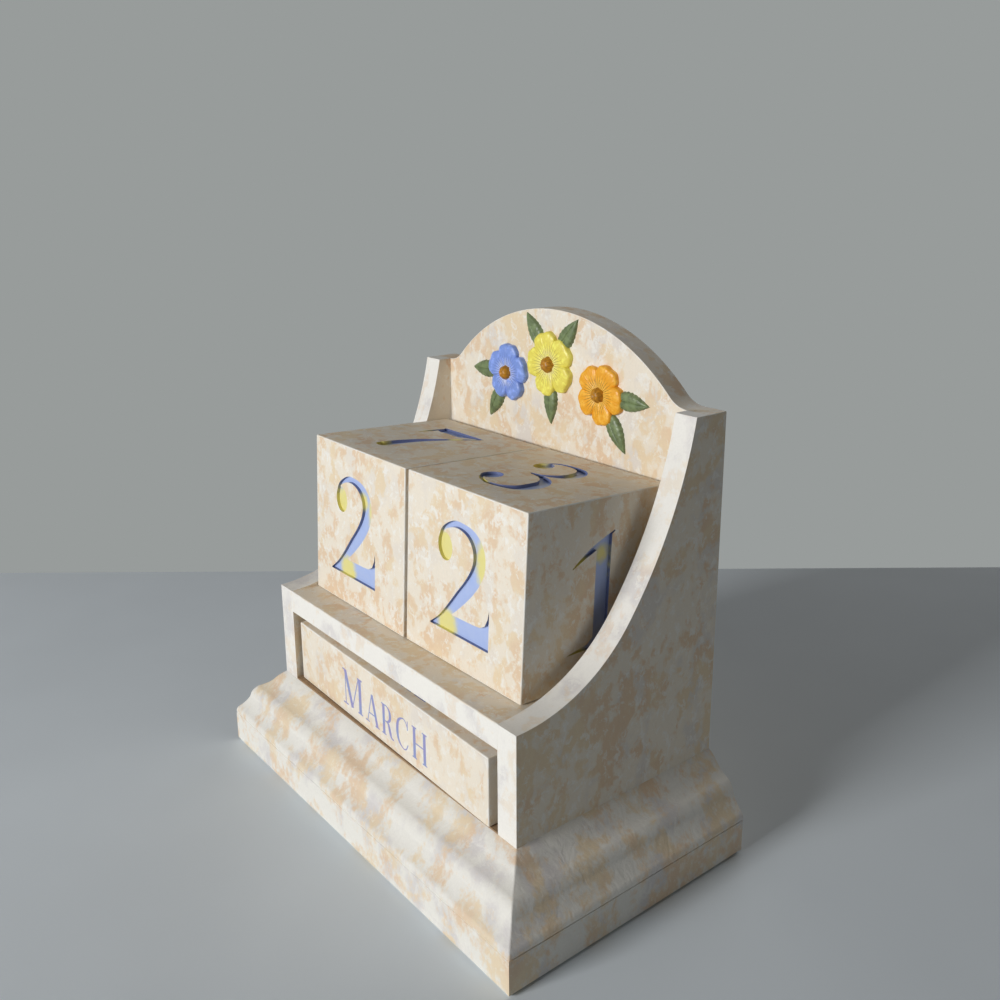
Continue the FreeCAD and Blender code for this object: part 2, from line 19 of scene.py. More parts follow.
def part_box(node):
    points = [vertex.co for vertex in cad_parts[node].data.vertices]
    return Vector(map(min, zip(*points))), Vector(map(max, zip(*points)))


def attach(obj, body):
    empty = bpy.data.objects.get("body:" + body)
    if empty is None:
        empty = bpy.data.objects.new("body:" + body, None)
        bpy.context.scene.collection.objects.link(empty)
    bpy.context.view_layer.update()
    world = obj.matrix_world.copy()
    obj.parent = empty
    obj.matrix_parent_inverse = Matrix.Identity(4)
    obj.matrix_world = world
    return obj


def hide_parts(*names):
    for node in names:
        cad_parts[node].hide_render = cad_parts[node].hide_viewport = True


bl_info = {
    "name": "Block Calendar",
    "version": (1, 0, 0),
    "blender": (4, 5, 0),
    "location": "3D View > Sidebar > Calendar",
    "description": "Builds the printed boards, date cubes, month bars and flower relief of a desk calendar",
    "category": "Object",
}

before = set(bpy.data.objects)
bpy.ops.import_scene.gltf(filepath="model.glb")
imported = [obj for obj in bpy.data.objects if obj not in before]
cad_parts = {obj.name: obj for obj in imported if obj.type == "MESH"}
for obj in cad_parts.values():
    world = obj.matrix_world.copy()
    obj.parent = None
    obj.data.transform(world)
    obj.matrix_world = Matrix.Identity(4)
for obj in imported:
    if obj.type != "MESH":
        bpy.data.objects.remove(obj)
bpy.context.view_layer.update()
BOX = {name: (np.array(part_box(name)[0]), np.array(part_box(name)[1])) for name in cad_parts}
MM = 0.001
X, Y, Z = 0, 1, 2

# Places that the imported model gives
FRONT = BOX["side_panel_left"][0][Y]
BACK_INSIDE = BOX["side_panel_left"][1][Y]
REAR = BOX["back_panel"][1][Y]
SLAB_TOP = BOX["back_panel"][0][Z]
SHOULDER = BOX["side_panel_left"][1][Z]
ARCH_TOP = BOX["back_panel"][1][Z]
HALF_WIDTH = BOX["back_panel"][1][X]
HALF_INSIDE = BOX["shelf"][1][X]
SHELF_FRONT = BOX["shelf"][1][Z]
SLOT_FLOOR = BOX["plinth_core"][1][Z]
MOULDING_TOP = BOX["moulding_front"][1][Z]
OVERHANG = FRONT - BOX["base_slab"][0][Y]
BOARD = REAR - BACK_INSIDE

TOUCHING = 0.01 * MM  # closer than this, two faces meet
NEAR_SHELF = 0.3 * MM  # how far over the shelf a side's inner edge still counts as butting on it
WELD = 0.0005 * MM  # closer than this, two vertices are one
SAME_POINT_MM = 1e-5  # closer than this, two points of an inlaid outline are one
SHARP = math.radians(32)  # an edge that turns by more isn't shaded smooth
ROUND_STEPS = 48  # points round a screw's head and a flower's button
COVE_POINTS, HOLLOW_POINTS, ARCH_POINTS = 28, 14, 60  # along each arc of the sides and of the back panel

# Moulding from the wall down to the slab: out and up as shares of its overhang and height, and how far the
# edge that follows bows off its chord as a share of the chord, below zero for a hollow
MOULDING_SHARES = [
    (0.00, 1.00, 0.05),
    (0.27, 0.78, -0.05),
    (0.56, 0.62, 0.10),
    (0.72, 0.39, -0.05),
    (0.95, 0.13, 0.12),
    (1.00, 0.00, 0.0),
]
EDGE_POINTS = 24  # along each edge of the moulding
SOFTENING = 5  # points in the running mean


# Sizes and colours that a user would change


def length_property(label, size_mm, words):
    """A length in metres, given here in millimetres."""
    return FloatProperty(name=label, description=words, default=size_mm * MM, min=0.0, unit="LENGTH", precision=5)


def angle_property(label, degrees, words):
    """An angle, given here in degrees."""
    return FloatProperty(name=label, description=words, default=math.radians(degrees), unit="ROTATION")


def linear(code):
    """sRGB hex to linear light: each channel over 12.92 in the dark part, else raised to 2.4."""
    channels = [int(code[i : i + 2], 16) / 255 for i in (1, 3, 5)]
    return [c / 12.92 if c <= 0.04045 else ((c + 0.055) / 1.055) ** 2.4 for c in channels]


def colour_property(label, code, words):
    """A colour, given here as sRGB hex."""
    shades = {"default": linear(code), "size": 3, "min": 0.0, "max": 1.0}
    return FloatVectorProperty(name=label, description=words, subtype="COLOR", **shades)


class CalendarSizes(bpy.types.PropertyGroup):
    """Sizes of what is made here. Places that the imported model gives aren't repeated."""

    arris: length_property("Board edge", 0.3, "Rounding of the rubbed-down edges of the boards")
    cove_share: FloatProperty(
        name="Cove radius share",
        description="Radius of the cove's lower arc, as a share of the run from the front to the shoulder",
        default=0.785,
    )
    shoulder_depth: length_property("Shoulder depth", 10.5, "Flat top of a side, from the rear face forward")
    shoulder_lean: angle_property("Shoulder lean", 11.0, "Lean off upright where the cove meets the shoulder")
    arch_fillet: length_property("Arch fillet", 8.0, "Hollow where the arch meets a shoulder")
    moulding_arris: length_property("Moulding corner", 0.4, "Rounding of the moulding's mitred corners")
    cube: length_property("Cube", 45.0, "Edge of a date cube")
    cube_edge: length_property("Cube edge", 0.3, "Rounding of a date cube's edges")
    shelf_slope: angle_property("Shelf slope", 2.8, "Fall of the shelf towards the back")
    right_cube_twist: angle_property("Right cube twist", 0.95, "Turn of the right cube on the shelf")
    numeral: length_property("Numeral height", 28.6, "Height of an engraved numeral")
    engraving: length_property("Engraving depth", 0.9, "Depth of the numerals")
    bar: length_property("Bar section", 17.5, "Section of a square month bar")
    bar_length: length_property("Bar length", 90.4, "Length of a month bar")
    bar_edge: length_property("Bar edge", 0.3, "Rounding of a month bar's edges")
    front_bar_twist: angle_property("Front bar twist", 1.2, "Turn of the front bar in its slot")
    capital: length_property("Capital height", 8.7, "Height of a month's capitals")
    initial: length_property("Initial height", 10.4, "Height of a month's first letter")
    screw_head: length_property("Screw head radius", 3.5, "Radius of a slab screw's head")
    screw_shank: length_property("Screw shank radius", 1.75, "Radius of a slab screw's shank")
    leaf_length: length_property("Leaf length", 12.0, "Length of a leaf from stalk to tip")
    leaf_width: length_property("Leaf width", 5.2, "Width of a leaf")
    leaf_reach: length_property("Leaf reach", 10.6, "From a flower's middle to a leaf's middle")


class CalendarColours(bpy.types.PropertyGroup):
    """Colours of the finishes."""

    cream: colour_property("Cream", "#EEE4D3", "Ground of the faux stone print on the box, cubes and bars")
    stone: colour_property("Stone", "#ECE9E1", "Ground of the print on the plinth")
    apricot: colour_property("Apricot", "#E4C7A5", "Sponged patches of the print")
    straw: colour_property("Straw", "#E9D4B1", "Yellower patches of the print")
    # Chalk is also the pale paint of the rounded edges, a painted highlight.
    chalk: colour_property("Chalk", "#F3F0E9", "White flecks and rounded edges and highlight")
    haze: colour_property("Haze", "#D6D1D0", "Faint grey clouds of the print")
    numeral_blue: colour_property("Numeral blue", "#A6BBEC", "Paint on the floor of a numeral")
    numeral_yellow: colour_property("Numeral yellow", "#E5DB84", "Paint that runs into the blue")
    # The deeper blue of the engraving's walls is painted shade of the recess.
    numeral_wall_shade: colour_property("Numeral wall", "#6B76A0", "Paint in the corners of the engraving")
    ink: colour_property("Month ink", "#8F9AC8", "Ink of the months")
    petal_blue: colour_property("Petal blue", "#7F9AE0", "Blue flower")
    petal_yellow: colour_property("Petal yellow", "#EBDD60", "Yellow flower")
    petal_amber: colour_property("Petal amber", "#F2A927", "Amber flower")
    eye: colour_property("Flower eye", "#C98A1E", "Middle of a flower")
    leaf: colour_property("Leaf", "#7E8F63", "Leaves")
    board: colour_property("Raw board", "#A98B6B", "Bare fibreboard under the slab")
    floor: colour_property("Floor", "#E0E8EE", "Floor that the calendar stands on")
    wall: colour_property("Surroundings", "#989C9B", "What is seen behind the calendar")


def sizes():
    return bpy.context.scene.calendar_sizes


def colours():
    return bpy.context.scene.calendar_colours


# Outlines: arcs, pen strokes, numerals and letters


def on_circle(count):
    """Angles of this many points round a circle."""
    return np.linspace(0, 2 * math.pi, count, endpoint=False)


def arc(centre, radius, start, end, count):
    """Points on a circle from one angle to the other, in degrees."""
    angle = np.radians(np.linspace(start, end, count))
    return np.stack([centre[0] + radius * np.cos(angle), centre[1] + radius * np.sin(angle)], -1)


def heading(centre, point):
    return math.degrees(math.atan2(point[1] - centre[1], point[0] - centre[0]))


CATMULL_ROM = np.array([[0, 2, 0, 0], [-1, 0, 1, 0], [2, -5, 4, -1], [-1, 3, -3, 1]]) / 2


def curve(points, steps, closed):
    """Catmull-Rom curve: between two points it is the cubic whose slope at each is half the run between that
    point's neighbours."""
    p = np.array(points, float)
    if closed:
        p = np.vstack([p[-1:], p, p[:2]])
    else:
        p = np.vstack([2 * p[:1] - p[1:2], p, 2 * p[-1:] - p[-2:-1]])
    t = np.arange(steps) / steps
    powers = np.stack([t**0, t, t**2, t**3], -1)
    spans = np.stack([p[i : len(p) - 3 + i] for i in range(4)], 1)
    path = np.einsum("tk,kj,sjc->stc", powers, CATMULL_ROM, spans).reshape(-1, p.shape[1])
    return path if closed else np.vstack([path, p[-2]])


def turned(loop, way):
    """The loop, anticlockwise for 1 and clockwise for -1."""
    x, y = loop.T
    area = np.sum(x * np.roll(y, -1) - np.roll(x, -1) * y)
    return loop if area * way > 0 else loop[::-1]


def stroke(points, closed=False, steps=8):
    """Outline of a pen stroke through (x, y, width): its sides lie half a width to each side of the curve."""
    path = curve(points, steps if len(points) > 2 else 1, closed)
    middle, width = path[:, :2], path[:, 2:]
    if closed:
        along = np.roll(middle, -1, 0) - np.roll(middle, 1, 0)
    else:
        along = np.gradient(middle, axis=0)
    along /= np.linalg.norm(along, axis=1, keepdims=True)
    aside = np.stack([-along[:, 1], along[:, 0]], -1) * width / 2
    if closed:
        inner, outer = sorted((middle - aside, middle + aside), key=lambda side: np.ptp(side[:, 0]))
        return [turned(outer, 1), turned(inner, -1)]
    return [turned(np.vstack([middle + aside, (middle - aside)[::-1]]), 1)]


def oval(x, y, across, up, lean=0.0):
    """Ellipse with these half widths, leaning by an angle in degrees."""
    angle = on_circle(28)
    c, s = math.cos(math.radians(lean)), math.sin(math.radians(lean))
    u, v = across * np.cos(angle), up * np.sin(angle)
    return [np.stack([x + u * c - v * s, y + u * s + v * c], -1)]


def ring(x, y, across, up, thick, thin):
    """Upright oval stroke: the pen is as wide as its run is upright."""
    angle = on_circle(24)
    width = thin + (thick - thin) * np.cos(angle) ** 2
    across, up = across - thick / 2, up - thin / 2
    points = np.stack([x + across * np.cos(angle), y + up * np.sin(angle), width], -1)
    return stroke(points, closed=True, steps=3)


def patch(*points):
    return [turned(np.array(points, float), 1)]


def pen(*points):
    return stroke(points)


# Numerals one unit high, their foot on zero and their middle on zero across
NUMERALS = {
    "0": ring(0, 0.5, 0.34, 0.5, 0.155, 0.035),
    "1": pen((-0.28, 0.735, 0.008), (-0.15, 0.815, 0.036), (-0.02, 0.88, 0.05), (0.18, 0.985, 0.012))
    + patch((-0.015, 0.03), (0.145, 0.03), (0.15, 0.965), (-0.02, 0.86))
    + patch((-0.31, 0), (0.42, 0), (0.36, 0.022), (0.2, 0.05), (0.145, 0.1), (-0.015, 0.1), (-0.07, 0.05)),
    "2": pen((-0.3, 0.78, 0.042), (-0.25, 0.892, 0.035), (-0.108, 0.965, 0.056), (0.035, 0.96, 0.075),
             (0.15, 0.91, 0.118), (0.222, 0.82, 0.15), (0.234, 0.703, 0.156), (0.192, 0.591, 0.15),
             (0.108, 0.472, 0.14), (-0.014, 0.339, 0.124), (-0.15, 0.199, 0.09), (-0.28, 0.087, 0.05),
             (-0.416, 0.004, 0.008))
    + oval(-0.222, 0.745, 0.098, 0.125, 8)
    + patch((-0.416, 0), (0.378, 0), (0.378, 0.364), (0.36, 0.28), (0.325, 0.212), (0.266, 0.18), (0.175, 0.172),
            (-0.182, 0.164), (-0.27, 0.12)),
    "3": pen((-0.28, 0.83, 0.03), (-0.19, 0.945, 0.036), (-0.02, 0.972, 0.045), (0.12, 0.93, 0.09),
             (0.19, 0.8, 0.14), (0.15, 0.66, 0.1), (0.03, 0.56, 0.045), (-0.1, 0.53, 0.02))
    + pen((-0.1, 0.53, 0.02), (0.07, 0.51, 0.06), (0.2, 0.42, 0.12), (0.245, 0.27, 0.165), (0.2, 0.12, 0.13),
          (0.06, 0.035, 0.055), (-0.1, 0.025, 0.04), (-0.24, 0.09, 0.036), (-0.31, 0.18, 0.03))
    + oval(-0.22, 0.79, 0.09, 0.1) + oval(-0.24, 0.21, 0.095, 0.105),
    "4": pen((0.13, 0, 0.15), (0.13, 1, 0.15)) + pen((0.16, 0.99, 0.05), (-0.38, 0.27, 0.04))
    + pen((-0.42, 0.265, 0.05), (0.36, 0.265, 0.05)) + pen((-0.05, 0.015, 0.03), (0.31, 0.015, 0.03)),
    "5": pen((-0.21, 0.99, 0.02), (0, 0.935, 0.11), (0.16, 0.94, 0.1), (0.27, 0.99, 0.02))
    + pen((-0.2, 0.99, 0.035), (-0.22, 0.5, 0.035))
    + pen((-0.22, 0.5, 0.03), (-0.08, 0.6, 0.045), (0.1, 0.585, 0.09), (0.22, 0.46, 0.15), (0.245, 0.3, 0.165),
          (0.18, 0.12, 0.12), (0.03, 0.03, 0.05), (-0.12, 0.03, 0.04), (-0.25, 0.1, 0.036), (-0.3, 0.19, 0.03))
    + oval(-0.23, 0.21, 0.09, 0.1),
    "6": pen((0.26, 0.85, 0.03), (0.15, 0.955, 0.036), (0, 0.965, 0.05), (-0.15, 0.88, 0.1), (-0.24, 0.7, 0.15),
             (-0.27, 0.5, 0.165), (-0.26, 0.3, 0.16), (-0.19, 0.14, 0.1))
    + ring(-0.02, 0.29, 0.3, 0.29, 0.15, 0.04) + oval(0.19, 0.81, 0.085, 0.095),
    "7": pen((-0.32, 0.66, 0.012), (-0.29, 0.8, 0.05), (-0.27, 0.99, 0.012))
    + patch((-0.3, 0.985), (-0.27, 0.86), (-0.2, 0.84), (0.1, 0.84), (0.34, 0.97), (0.34, 0.985))
    + pen((0.32, 0.965, 0.03), (0.14, 0.68, 0.06), (0.02, 0.44, 0.11), (-0.03, 0.22, 0.15), (-0.04, 0.04, 0.15))
    + oval(-0.04, 0.075, 0.09, 0.075),
    "8": ring(0, 0.745, 0.245, 0.255, 0.11, 0.04) + ring(0, 0.27, 0.31, 0.27, 0.15, 0.04),
}

STEM, HAIR, SERIF = 0.135, 0.042, 0.12
CAP = 1 - HAIR / 2
FOOT = HAIR / 2


def hair(x0, y0, x1, y1):
    """Thin line of a letter."""
    return pen((x0, y0, HAIR), (x1, y1, HAIR))


def thick(x0, y0, x1, y1):
    """Thick line of a letter."""
    return pen((x0, y0, STEM), (x1, y1, STEM))


def serif(x, y):
    return hair(x - SERIF, y, x + SERIF, y)


def stem(x):
    """Upright with a serif at each end."""
    return thick(x, 0, x, 1) + serif(x, CAP) + serif(x, FOOT)


def bowl(x, top, bottom, reach):
    """Half round from an upright and back to it, thick where it runs upright."""
    middle, half = (top + bottom) / 2, (top - bottom) / 2
    shares = ((0, 1, HAIR), (0.5, 0.98, HAIR), (0.88, 0.62, STEM * 0.72), (1, 0, STEM))
    shares += ((0.88, -0.62, STEM * 0.72), (0.5, -0.98, HAIR), (0, -1, HAIR))
    return pen(*((x + reach * out, middle + half * up, width) for out, up, width in shares))


ROUND_C = pen((0.64, 0.78, HAIR), (0.54, 0.94, HAIR), (0.38, CAP, HAIR), (0.16, 0.82, 0.1), (0.09, 0.5, STEM),
              (0.16, 0.18, 0.1), (0.38, FOOT, HAIR), (0.55, 0.06, HAIR), (0.66, 0.24, HAIR))
UPPER_ARMS = hair(0.16, CAP, 0.58, CAP) + hair(0.16, 0.5, 0.44, 0.5)
SLANTED_FROM_LEFT = hair(0.13, 0, 0.13, 1) + serif(0.13, FOOT)

# Letters one unit high from zero: width, then outlines
LETTERS = {
    "A": (0.82, hair(0.12, FOOT, 0.4, 1), thick(0.41, 0.98, 0.69, 0), hair(0.2, 0.33, 0.56, 0.33),
          serif(0.12, FOOT), serif(0.69, FOOT)),
    "B": (0.66, stem(0.16), bowl(0.16, CAP, 0.53, 0.34), bowl(0.16, 0.53, FOOT, 0.4)),
    "C": (0.74, ROUND_C, hair(0.645, 0.7, 0.645, 1)),
    "D": (0.8, stem(0.16), bowl(0.16, CAP, FOOT, 0.54)),
    "E": (0.66, stem(0.16), UPPER_ARMS, hair(0.16, FOOT, 0.6, FOOT), hair(0.57, 0.76, 0.57, 1),
          hair(0.44, 0.38, 0.44, 0.62), hair(0.59, 0, 0.59, 0.27)),
    "F": (0.6, stem(0.16), UPPER_ARMS, hair(0.57, 0.76, 0.57, 1), hair(0.44, 0.38, 0.44, 0.62)),
    "G": (0.82, ROUND_C, hair(0.645, 0.7, 0.645, 1), thick(0.66, 0, 0.66, 0.42), serif(0.66, 0.41)),
    "H": (0.84, stem(0.16), stem(0.68), hair(0.16, 0.5, 0.68, 0.5)),
    "I": (0.32, stem(0.16)),
    "J": (0.44, serif(0.28, CAP), oval(0.06, 0.15, 0.06, 0.065),
          pen((0.28, 1, STEM), (0.28, 0.28, STEM), (0.24, 0.08, 0.08), (0.12, FOOT, HAIR), (0.02, 0.12, HAIR))),
    "L": (0.62, stem(0.16), hair(0.16, FOOT, 0.58, FOOT), hair(0.57, 0, 0.57, 0.28)),
    "M": (1.04, SLANTED_FROM_LEFT, thick(0.14, 0.98, 0.47, 0.02), hair(0.47, 0.04, 0.83, 1), stem(0.88),
          hair(0.0, CAP, 0.14, CAP)),
    "N": (0.82, SLANTED_FROM_LEFT, thick(0.14, 0.98, 0.67, 0.02), hair(0.69, 0, 0.69, 1), serif(0.69, CAP),
          hair(0.0, CAP, 0.14, CAP)),
    "O": (0.82, ring(0.41, 0.5, 0.37, 0.5, STEM, HAIR)),
    "P": (0.64, stem(0.16), bowl(0.16, CAP, 0.46, 0.38)),
    "R": (0.72, stem(0.16), bowl(0.16, CAP, 0.47, 0.36),
          pen((0.3, 0.47, HAIR), (0.42, 0.42, 0.1), (0.5, 0.2, STEM), (0.57, 0.05, 0.08), (0.7, FOOT, HAIR))),
    "S": (0.6, hair(0.53, 0.72, 0.53, 1), hair(0.07, 0, 0.07, 0.28),
          pen((0.53, 0.8, HAIR), (0.42, 0.95, HAIR), (0.27, CAP, HAIR), (0.11, 0.8, 0.1), (0.22, 0.6, STEM),
              (0.42, 0.44, STEM), (0.51, 0.22, 0.1), (0.34, FOOT, HAIR), (0.18, 0.05, HAIR), (0.07, 0.2, HAIR))),
    "T": (0.74, thick(0.37, 0, 0.37, 1), serif(0.37, FOOT), hair(0.03, CAP, 0.71, CAP), hair(0.04, 0.74, 0.04, 1),
          hair(0.7, 0.74, 0.7, 1)),
    "U": (0.8, serif(0.16, CAP), serif(0.66, CAP),
          pen((0.16, 1, STEM), (0.16, 0.32, STEM), (0.24, 0.08, 0.09), (0.42, FOOT, HAIR), (0.6, 0.09, HAIR),
              (0.66, 0.32, HAIR), (0.66, 1, HAIR))),
    "V": (0.78, thick(0.12, 1, 0.41, 0.02), hair(0.41, 0.02, 0.68, 1), serif(0.13, CAP), serif(0.68, CAP)),
    "Y": (0.76, thick(0.12, 1, 0.38, 0.46), hair(0.38, 0.46, 0.64, 1), thick(0.38, 0, 0.38, 0.48),
          serif(0.13, CAP), serif(0.64, CAP), serif(0.38, FOOT)),
}
LETTER_GAP_SHARE = 0.1  # of a letter's height
WORD_MIDDLE_SHARE = 0.58  # of the first letter's height, above the line that the letters stand on


def numeral(digit, shift_share):
    """Outlines of a numeral in the middle of its face, moved sideways by a share of its height."""
    height = sizes().numeral
    return [(loop + (shift_share, -0.5)) * height for loop in NUMERALS[digit]]


def word(text):
    """Outlines of a word with a taller first letter, in the middle of its face."""
    loops, x = [], 0.0
    for place, letter in enumerate(text):
        height = sizes().capital if place else sizes().initial
        width, *outlines = LETTERS[letter]
        loops += [loop * height + (x, 0) for group in outlines for loop in group]
        x += (width + LETTER_GAP_SHARE) * height
    x -= LETTER_GAP_SHARE * sizes().capital
    return [loop - (x / 2, sizes().initial * WORD_MIDDLE_SHARE) for loop in loops]


# Meshes


@contextmanager
def editing(mesh):
    """Opens a mesh for bmesh's operators and writes it back."""
    work = bmesh.new()
    work.from_mesh(mesh)
    yield work
    work.to_mesh(mesh)
    work.free()


def read(collection, key, width, kind):
    """A property of all of a mesh's vertices, edges or corners: a row for each."""
    values = np.empty(len(collection) * width, kind)
    collection.foreach_get(key, values)
    return values.reshape(-1, width)


def new_piece(name, verts, faces, uvs=None, numbers=None, weld=True, closed=True):
    """Object at the origin from vertices and faces, with a UV for each vertex and a material number for each face.
    A closed one has its faces turned outwards."""
    mesh = bpy.data.meshes.new(name)
    mesh.from_pydata(verts, [], faces)
    if uvs is not None:
        corners = read(mesh.loops, "vertex_index", 1, np.int32).ravel()
        mesh.uv_layers.new(name="surface").data.foreach_set("uv", np.asarray(uvs, np.float32)[corners].ravel())
    if numbers is not None:
        mesh.polygons.foreach_set("material_index", np.asarray(numbers, np.int32))
    if weld:
        with editing(mesh) as work:
            bmesh.ops.remove_doubles(work, verts=work.verts, dist=WELD)
            bmesh.ops.dissolve_degenerate(work, edges=work.edges, dist=WELD)
    mesh.validate()
    mesh.shade_smooth()
    mesh.set_sharp_from_angle(angle=SHARP)
    if closed:
        with editing(mesh) as work:
            bmesh.ops.recalc_face_normals(work, faces=work.faces)
    piece = bpy.data.objects.new(name, mesh)
    bpy.context.scene.collection.objects.link(piece)
    return piece


def grid_faces(rows, columns, wrap_rows=False, wrap_columns=False):
    """Quads of a grid of points, row by row. A wrapped grid joins its last row or column to its first."""
    i = np.arange(rows if wrap_rows else rows - 1)[:, None]
    j = np.arange(columns if wrap_columns else columns - 1)[None, :]
    below, beside = (i + 1) % rows, (j + 1) % columns
    quads = [i * columns + j, i * columns + beside, below * columns + beside, below * columns + j]
    return np.stack([np.broadcast_to(q, (i.size, j.size)) for q in quads], -1).reshape(-1, 4)


def tube_faces(rows, columns):
    """Quads of rings of points, and triangles from the last ring to one point that follows them."""
    last = (rows - 1) * columns + np.arange(columns)
    end = np.column_stack([last, np.roll(last, -1), np.full(columns, rows * columns)])
    return grid_faces(rows, columns, wrap_columns=True).tolist() + end.tolist()


def joined(parts):
    """Points and faces of several parts as one: each part's faces count on from the points before it."""
    starts = np.cumsum([0] + [len(points) for points, _ in parts]).tolist()
    faces = [[k + start for k in face] for (_, part), start in zip(parts, starts) for face in part]
    return np.vstack([points for points, _ in parts]), faces


def dress(piece, *finishes):
    """Puts the named finishes in the piece's slots, and in place of those that a node of the model came with."""
    slots = piece.data.materials
    for place, name in enumerate(finishes):
        if place < len(slots):
            slots[place] = finish_of(name)
        else:
            slots.append(finish_of(name))


def finish(piece, body, slot, nodes, *finishes):
    """Takes its finishes, rides, and stands for the model's nodes. slot is not used."""
    dress(piece, *finishes)
    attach(piece, body)
    if nodes:
        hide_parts(*nodes)


def prism(name, outline, start, end, place, plain_edge, pale_face=None):
    """An outline carried straight from start to end, with capped ends. place puts across, up and along into
    X, Y and Z. Every sharp edge is rounded, apart from those whose middle plain_edge picks. Faces whose normal
    pale_face picks take the third material."""
    across, up = np.asarray(outline).T
    count = len(across)
    verts = np.vstack([np.stack(place(across, up, np.full(count, z)), -1) for z in (start, end)])
    faces = grid_faces(2, count, wrap_columns=True).tolist()
    faces += [list(range(count))[::-1], list(range(count, 2 * count))]
    piece = new_piece(name, verts, faces, weld=False)
    mesh = piece.data
    mesh.shade_smooth()
    middles = read(mesh.vertices, "co", 3, np.float32)[read(mesh.edges, "vertices", 2, np.int32)].mean(1)
    weights = mesh.attributes.new("bevel_weight_edge", "FLOAT", "EDGE")
    weights.data.foreach_set("value", np.where(plain_edge(*middles.T), 0.0, sharp_edges(mesh)))
    if pale_face:
        normals = np.array([face.normal for face in mesh.polygons])
        mesh.polygons.foreach_set("material_index", np.where(pale_face(*normals.T), 2, 0).astype(np.int32))
    bevel = piece.modifiers.new("rounded edges and highlight", "BEVEL")
    bevel.width = sizes().arris
    bevel.segments = 3
    bevel.limit_method = "WEIGHT"
    bevel.harden_normals = True
    # The faces of the rounding take the second material, pale paint that stands in for the highlight along the
    # edges.
    bevel.material = 1
    return piece


def sharp_edges(mesh):
    """One for each edge whose faces turn by more than the sharp angle, else zero."""
    work = bmesh.new()
    work.from_mesh(mesh)
    work.edges.ensure_lookup_table()
    turns = np.array([edge.calc_face_angle(0.0) for edge in work.edges])
    work.free()
    return (turns > SHARP).astype(np.float32)


def winding(points, loops):
    """How often the outlines go round each point: upward edges to its right count one, downward ones take one."""
    total = np.zeros(len(points), int)
    px, py = points[:, :1], points[:, 1:]
    for loop in loops:
        ax, ay = loop.T
        bx, by = np.roll(loop, -1, 0).T
        side = (bx - ax) * (py - ay) - (px - ax) * (by - ay)
        total += ((ay <= py) & (by > py) & (side > 0)).sum(1)
        total -= ((ay > py) & (by <= py) & (side < 0)).sum(1)
    return total


def inlaid_face(border, loops, depth):
    """A flat face within a border, whose triangles follow the outlines: what lies inside them is a face of its
    own, sunk by depth behind upright walls, or level with the rest where depth is zero. Gives local points, faces
    and material numbers: 0 round the outlines, 1 inside, 2 on the walls. Worked out in millimetres."""
    groups = [border] + loops
    firsts = np.cumsum([0] + [len(g) for g in groups])
    edges = [(first + k, first + (k + 1) % len(g)) for first, g in zip(firsts, groups) for k in range(len(g))]
    flat = np.vstack(groups) / MM
    verts, _, faces, *_ = delaunay_2d_cdt([Vector(p) for p in flat], edges, [], 0, SAME_POINT_MM)
    verts = np.array([tuple(v) for v in verts]) * MM
    tri = np.array(faces)
    a, b, c = (verts[tri[:, k]] for k in range(3))
    area = (b[:, 0] - a[:, 0]) * (c[:, 1] - a[:, 1]) - (b[:, 1] - a[:, 1]) * (c[:, 0] - a[:, 0])
    tri[area < 0] = tri[area < 0][:, ::-1]
    inside = winding(verts[tri].mean(1), loops) != 0
    count = len(verts)
    points = np.column_stack([verts, np.zeros(count)])
    if not depth:
        return points, tri.tolist(), inside.astype(int).tolist()
    sunk = tri[inside]
    directed = np.vstack([sunk[:, [0, 1]], sunk[:, [1, 2]], sunk[:, [2, 0]]])
    here, back = directed @ (count, 1), directed @ (1, count)
    rim = directed[~np.isin(here, back)]
    walls = np.column_stack([rim, rim[:, ::-1] + count])
    points = np.vstack([points, points - (0, 0, depth)])
    faces = tri[~inside].tolist() + (sunk + count).tolist() + walls.tolist()
    numbers = [0] * int((~inside).sum()) + [1] * len(sunk) + [2] * len(walls)
    used, renamed = np.unique(np.concatenate([np.ravel(f) for f in faces]), return_inverse=True)
    lengths = np.cumsum([len(f) for f in faces])[:-1]
    return points[used], [f.tolist() for f in np.split(renamed, lengths)], numbers


# Faces of a block: right-hand side, up and outward direction of what is written on them
FACES = {
    "front": ((1, 0, 0), (0, 0, 1), (0, -1, 0)),
    "right": ((0, 1, 0), (0, 0, 1), (1, 0, 0)),
    "back": ((-1, 0, 0), (0, 0, 1), (0, 1, 0)),
    "left": ((0, -1, 0), (0, 0, 1), (-1, 0, 0)),
    "top": ((1, 0, 0), (0, 1, 0), (0, 0, 1)),
    "bottom": ((1, 0, 0), (0, -1, 0), (0, 0, -1)),
    "rolled_back": ((1, 0, 0), (0, 0, -1), (0, 1, 0)),
}
EDGE_STEPS = 2
# The rounded edges of a block take this material, pale paint that stands in for their highlight.
EDGE_MATERIAL = 3


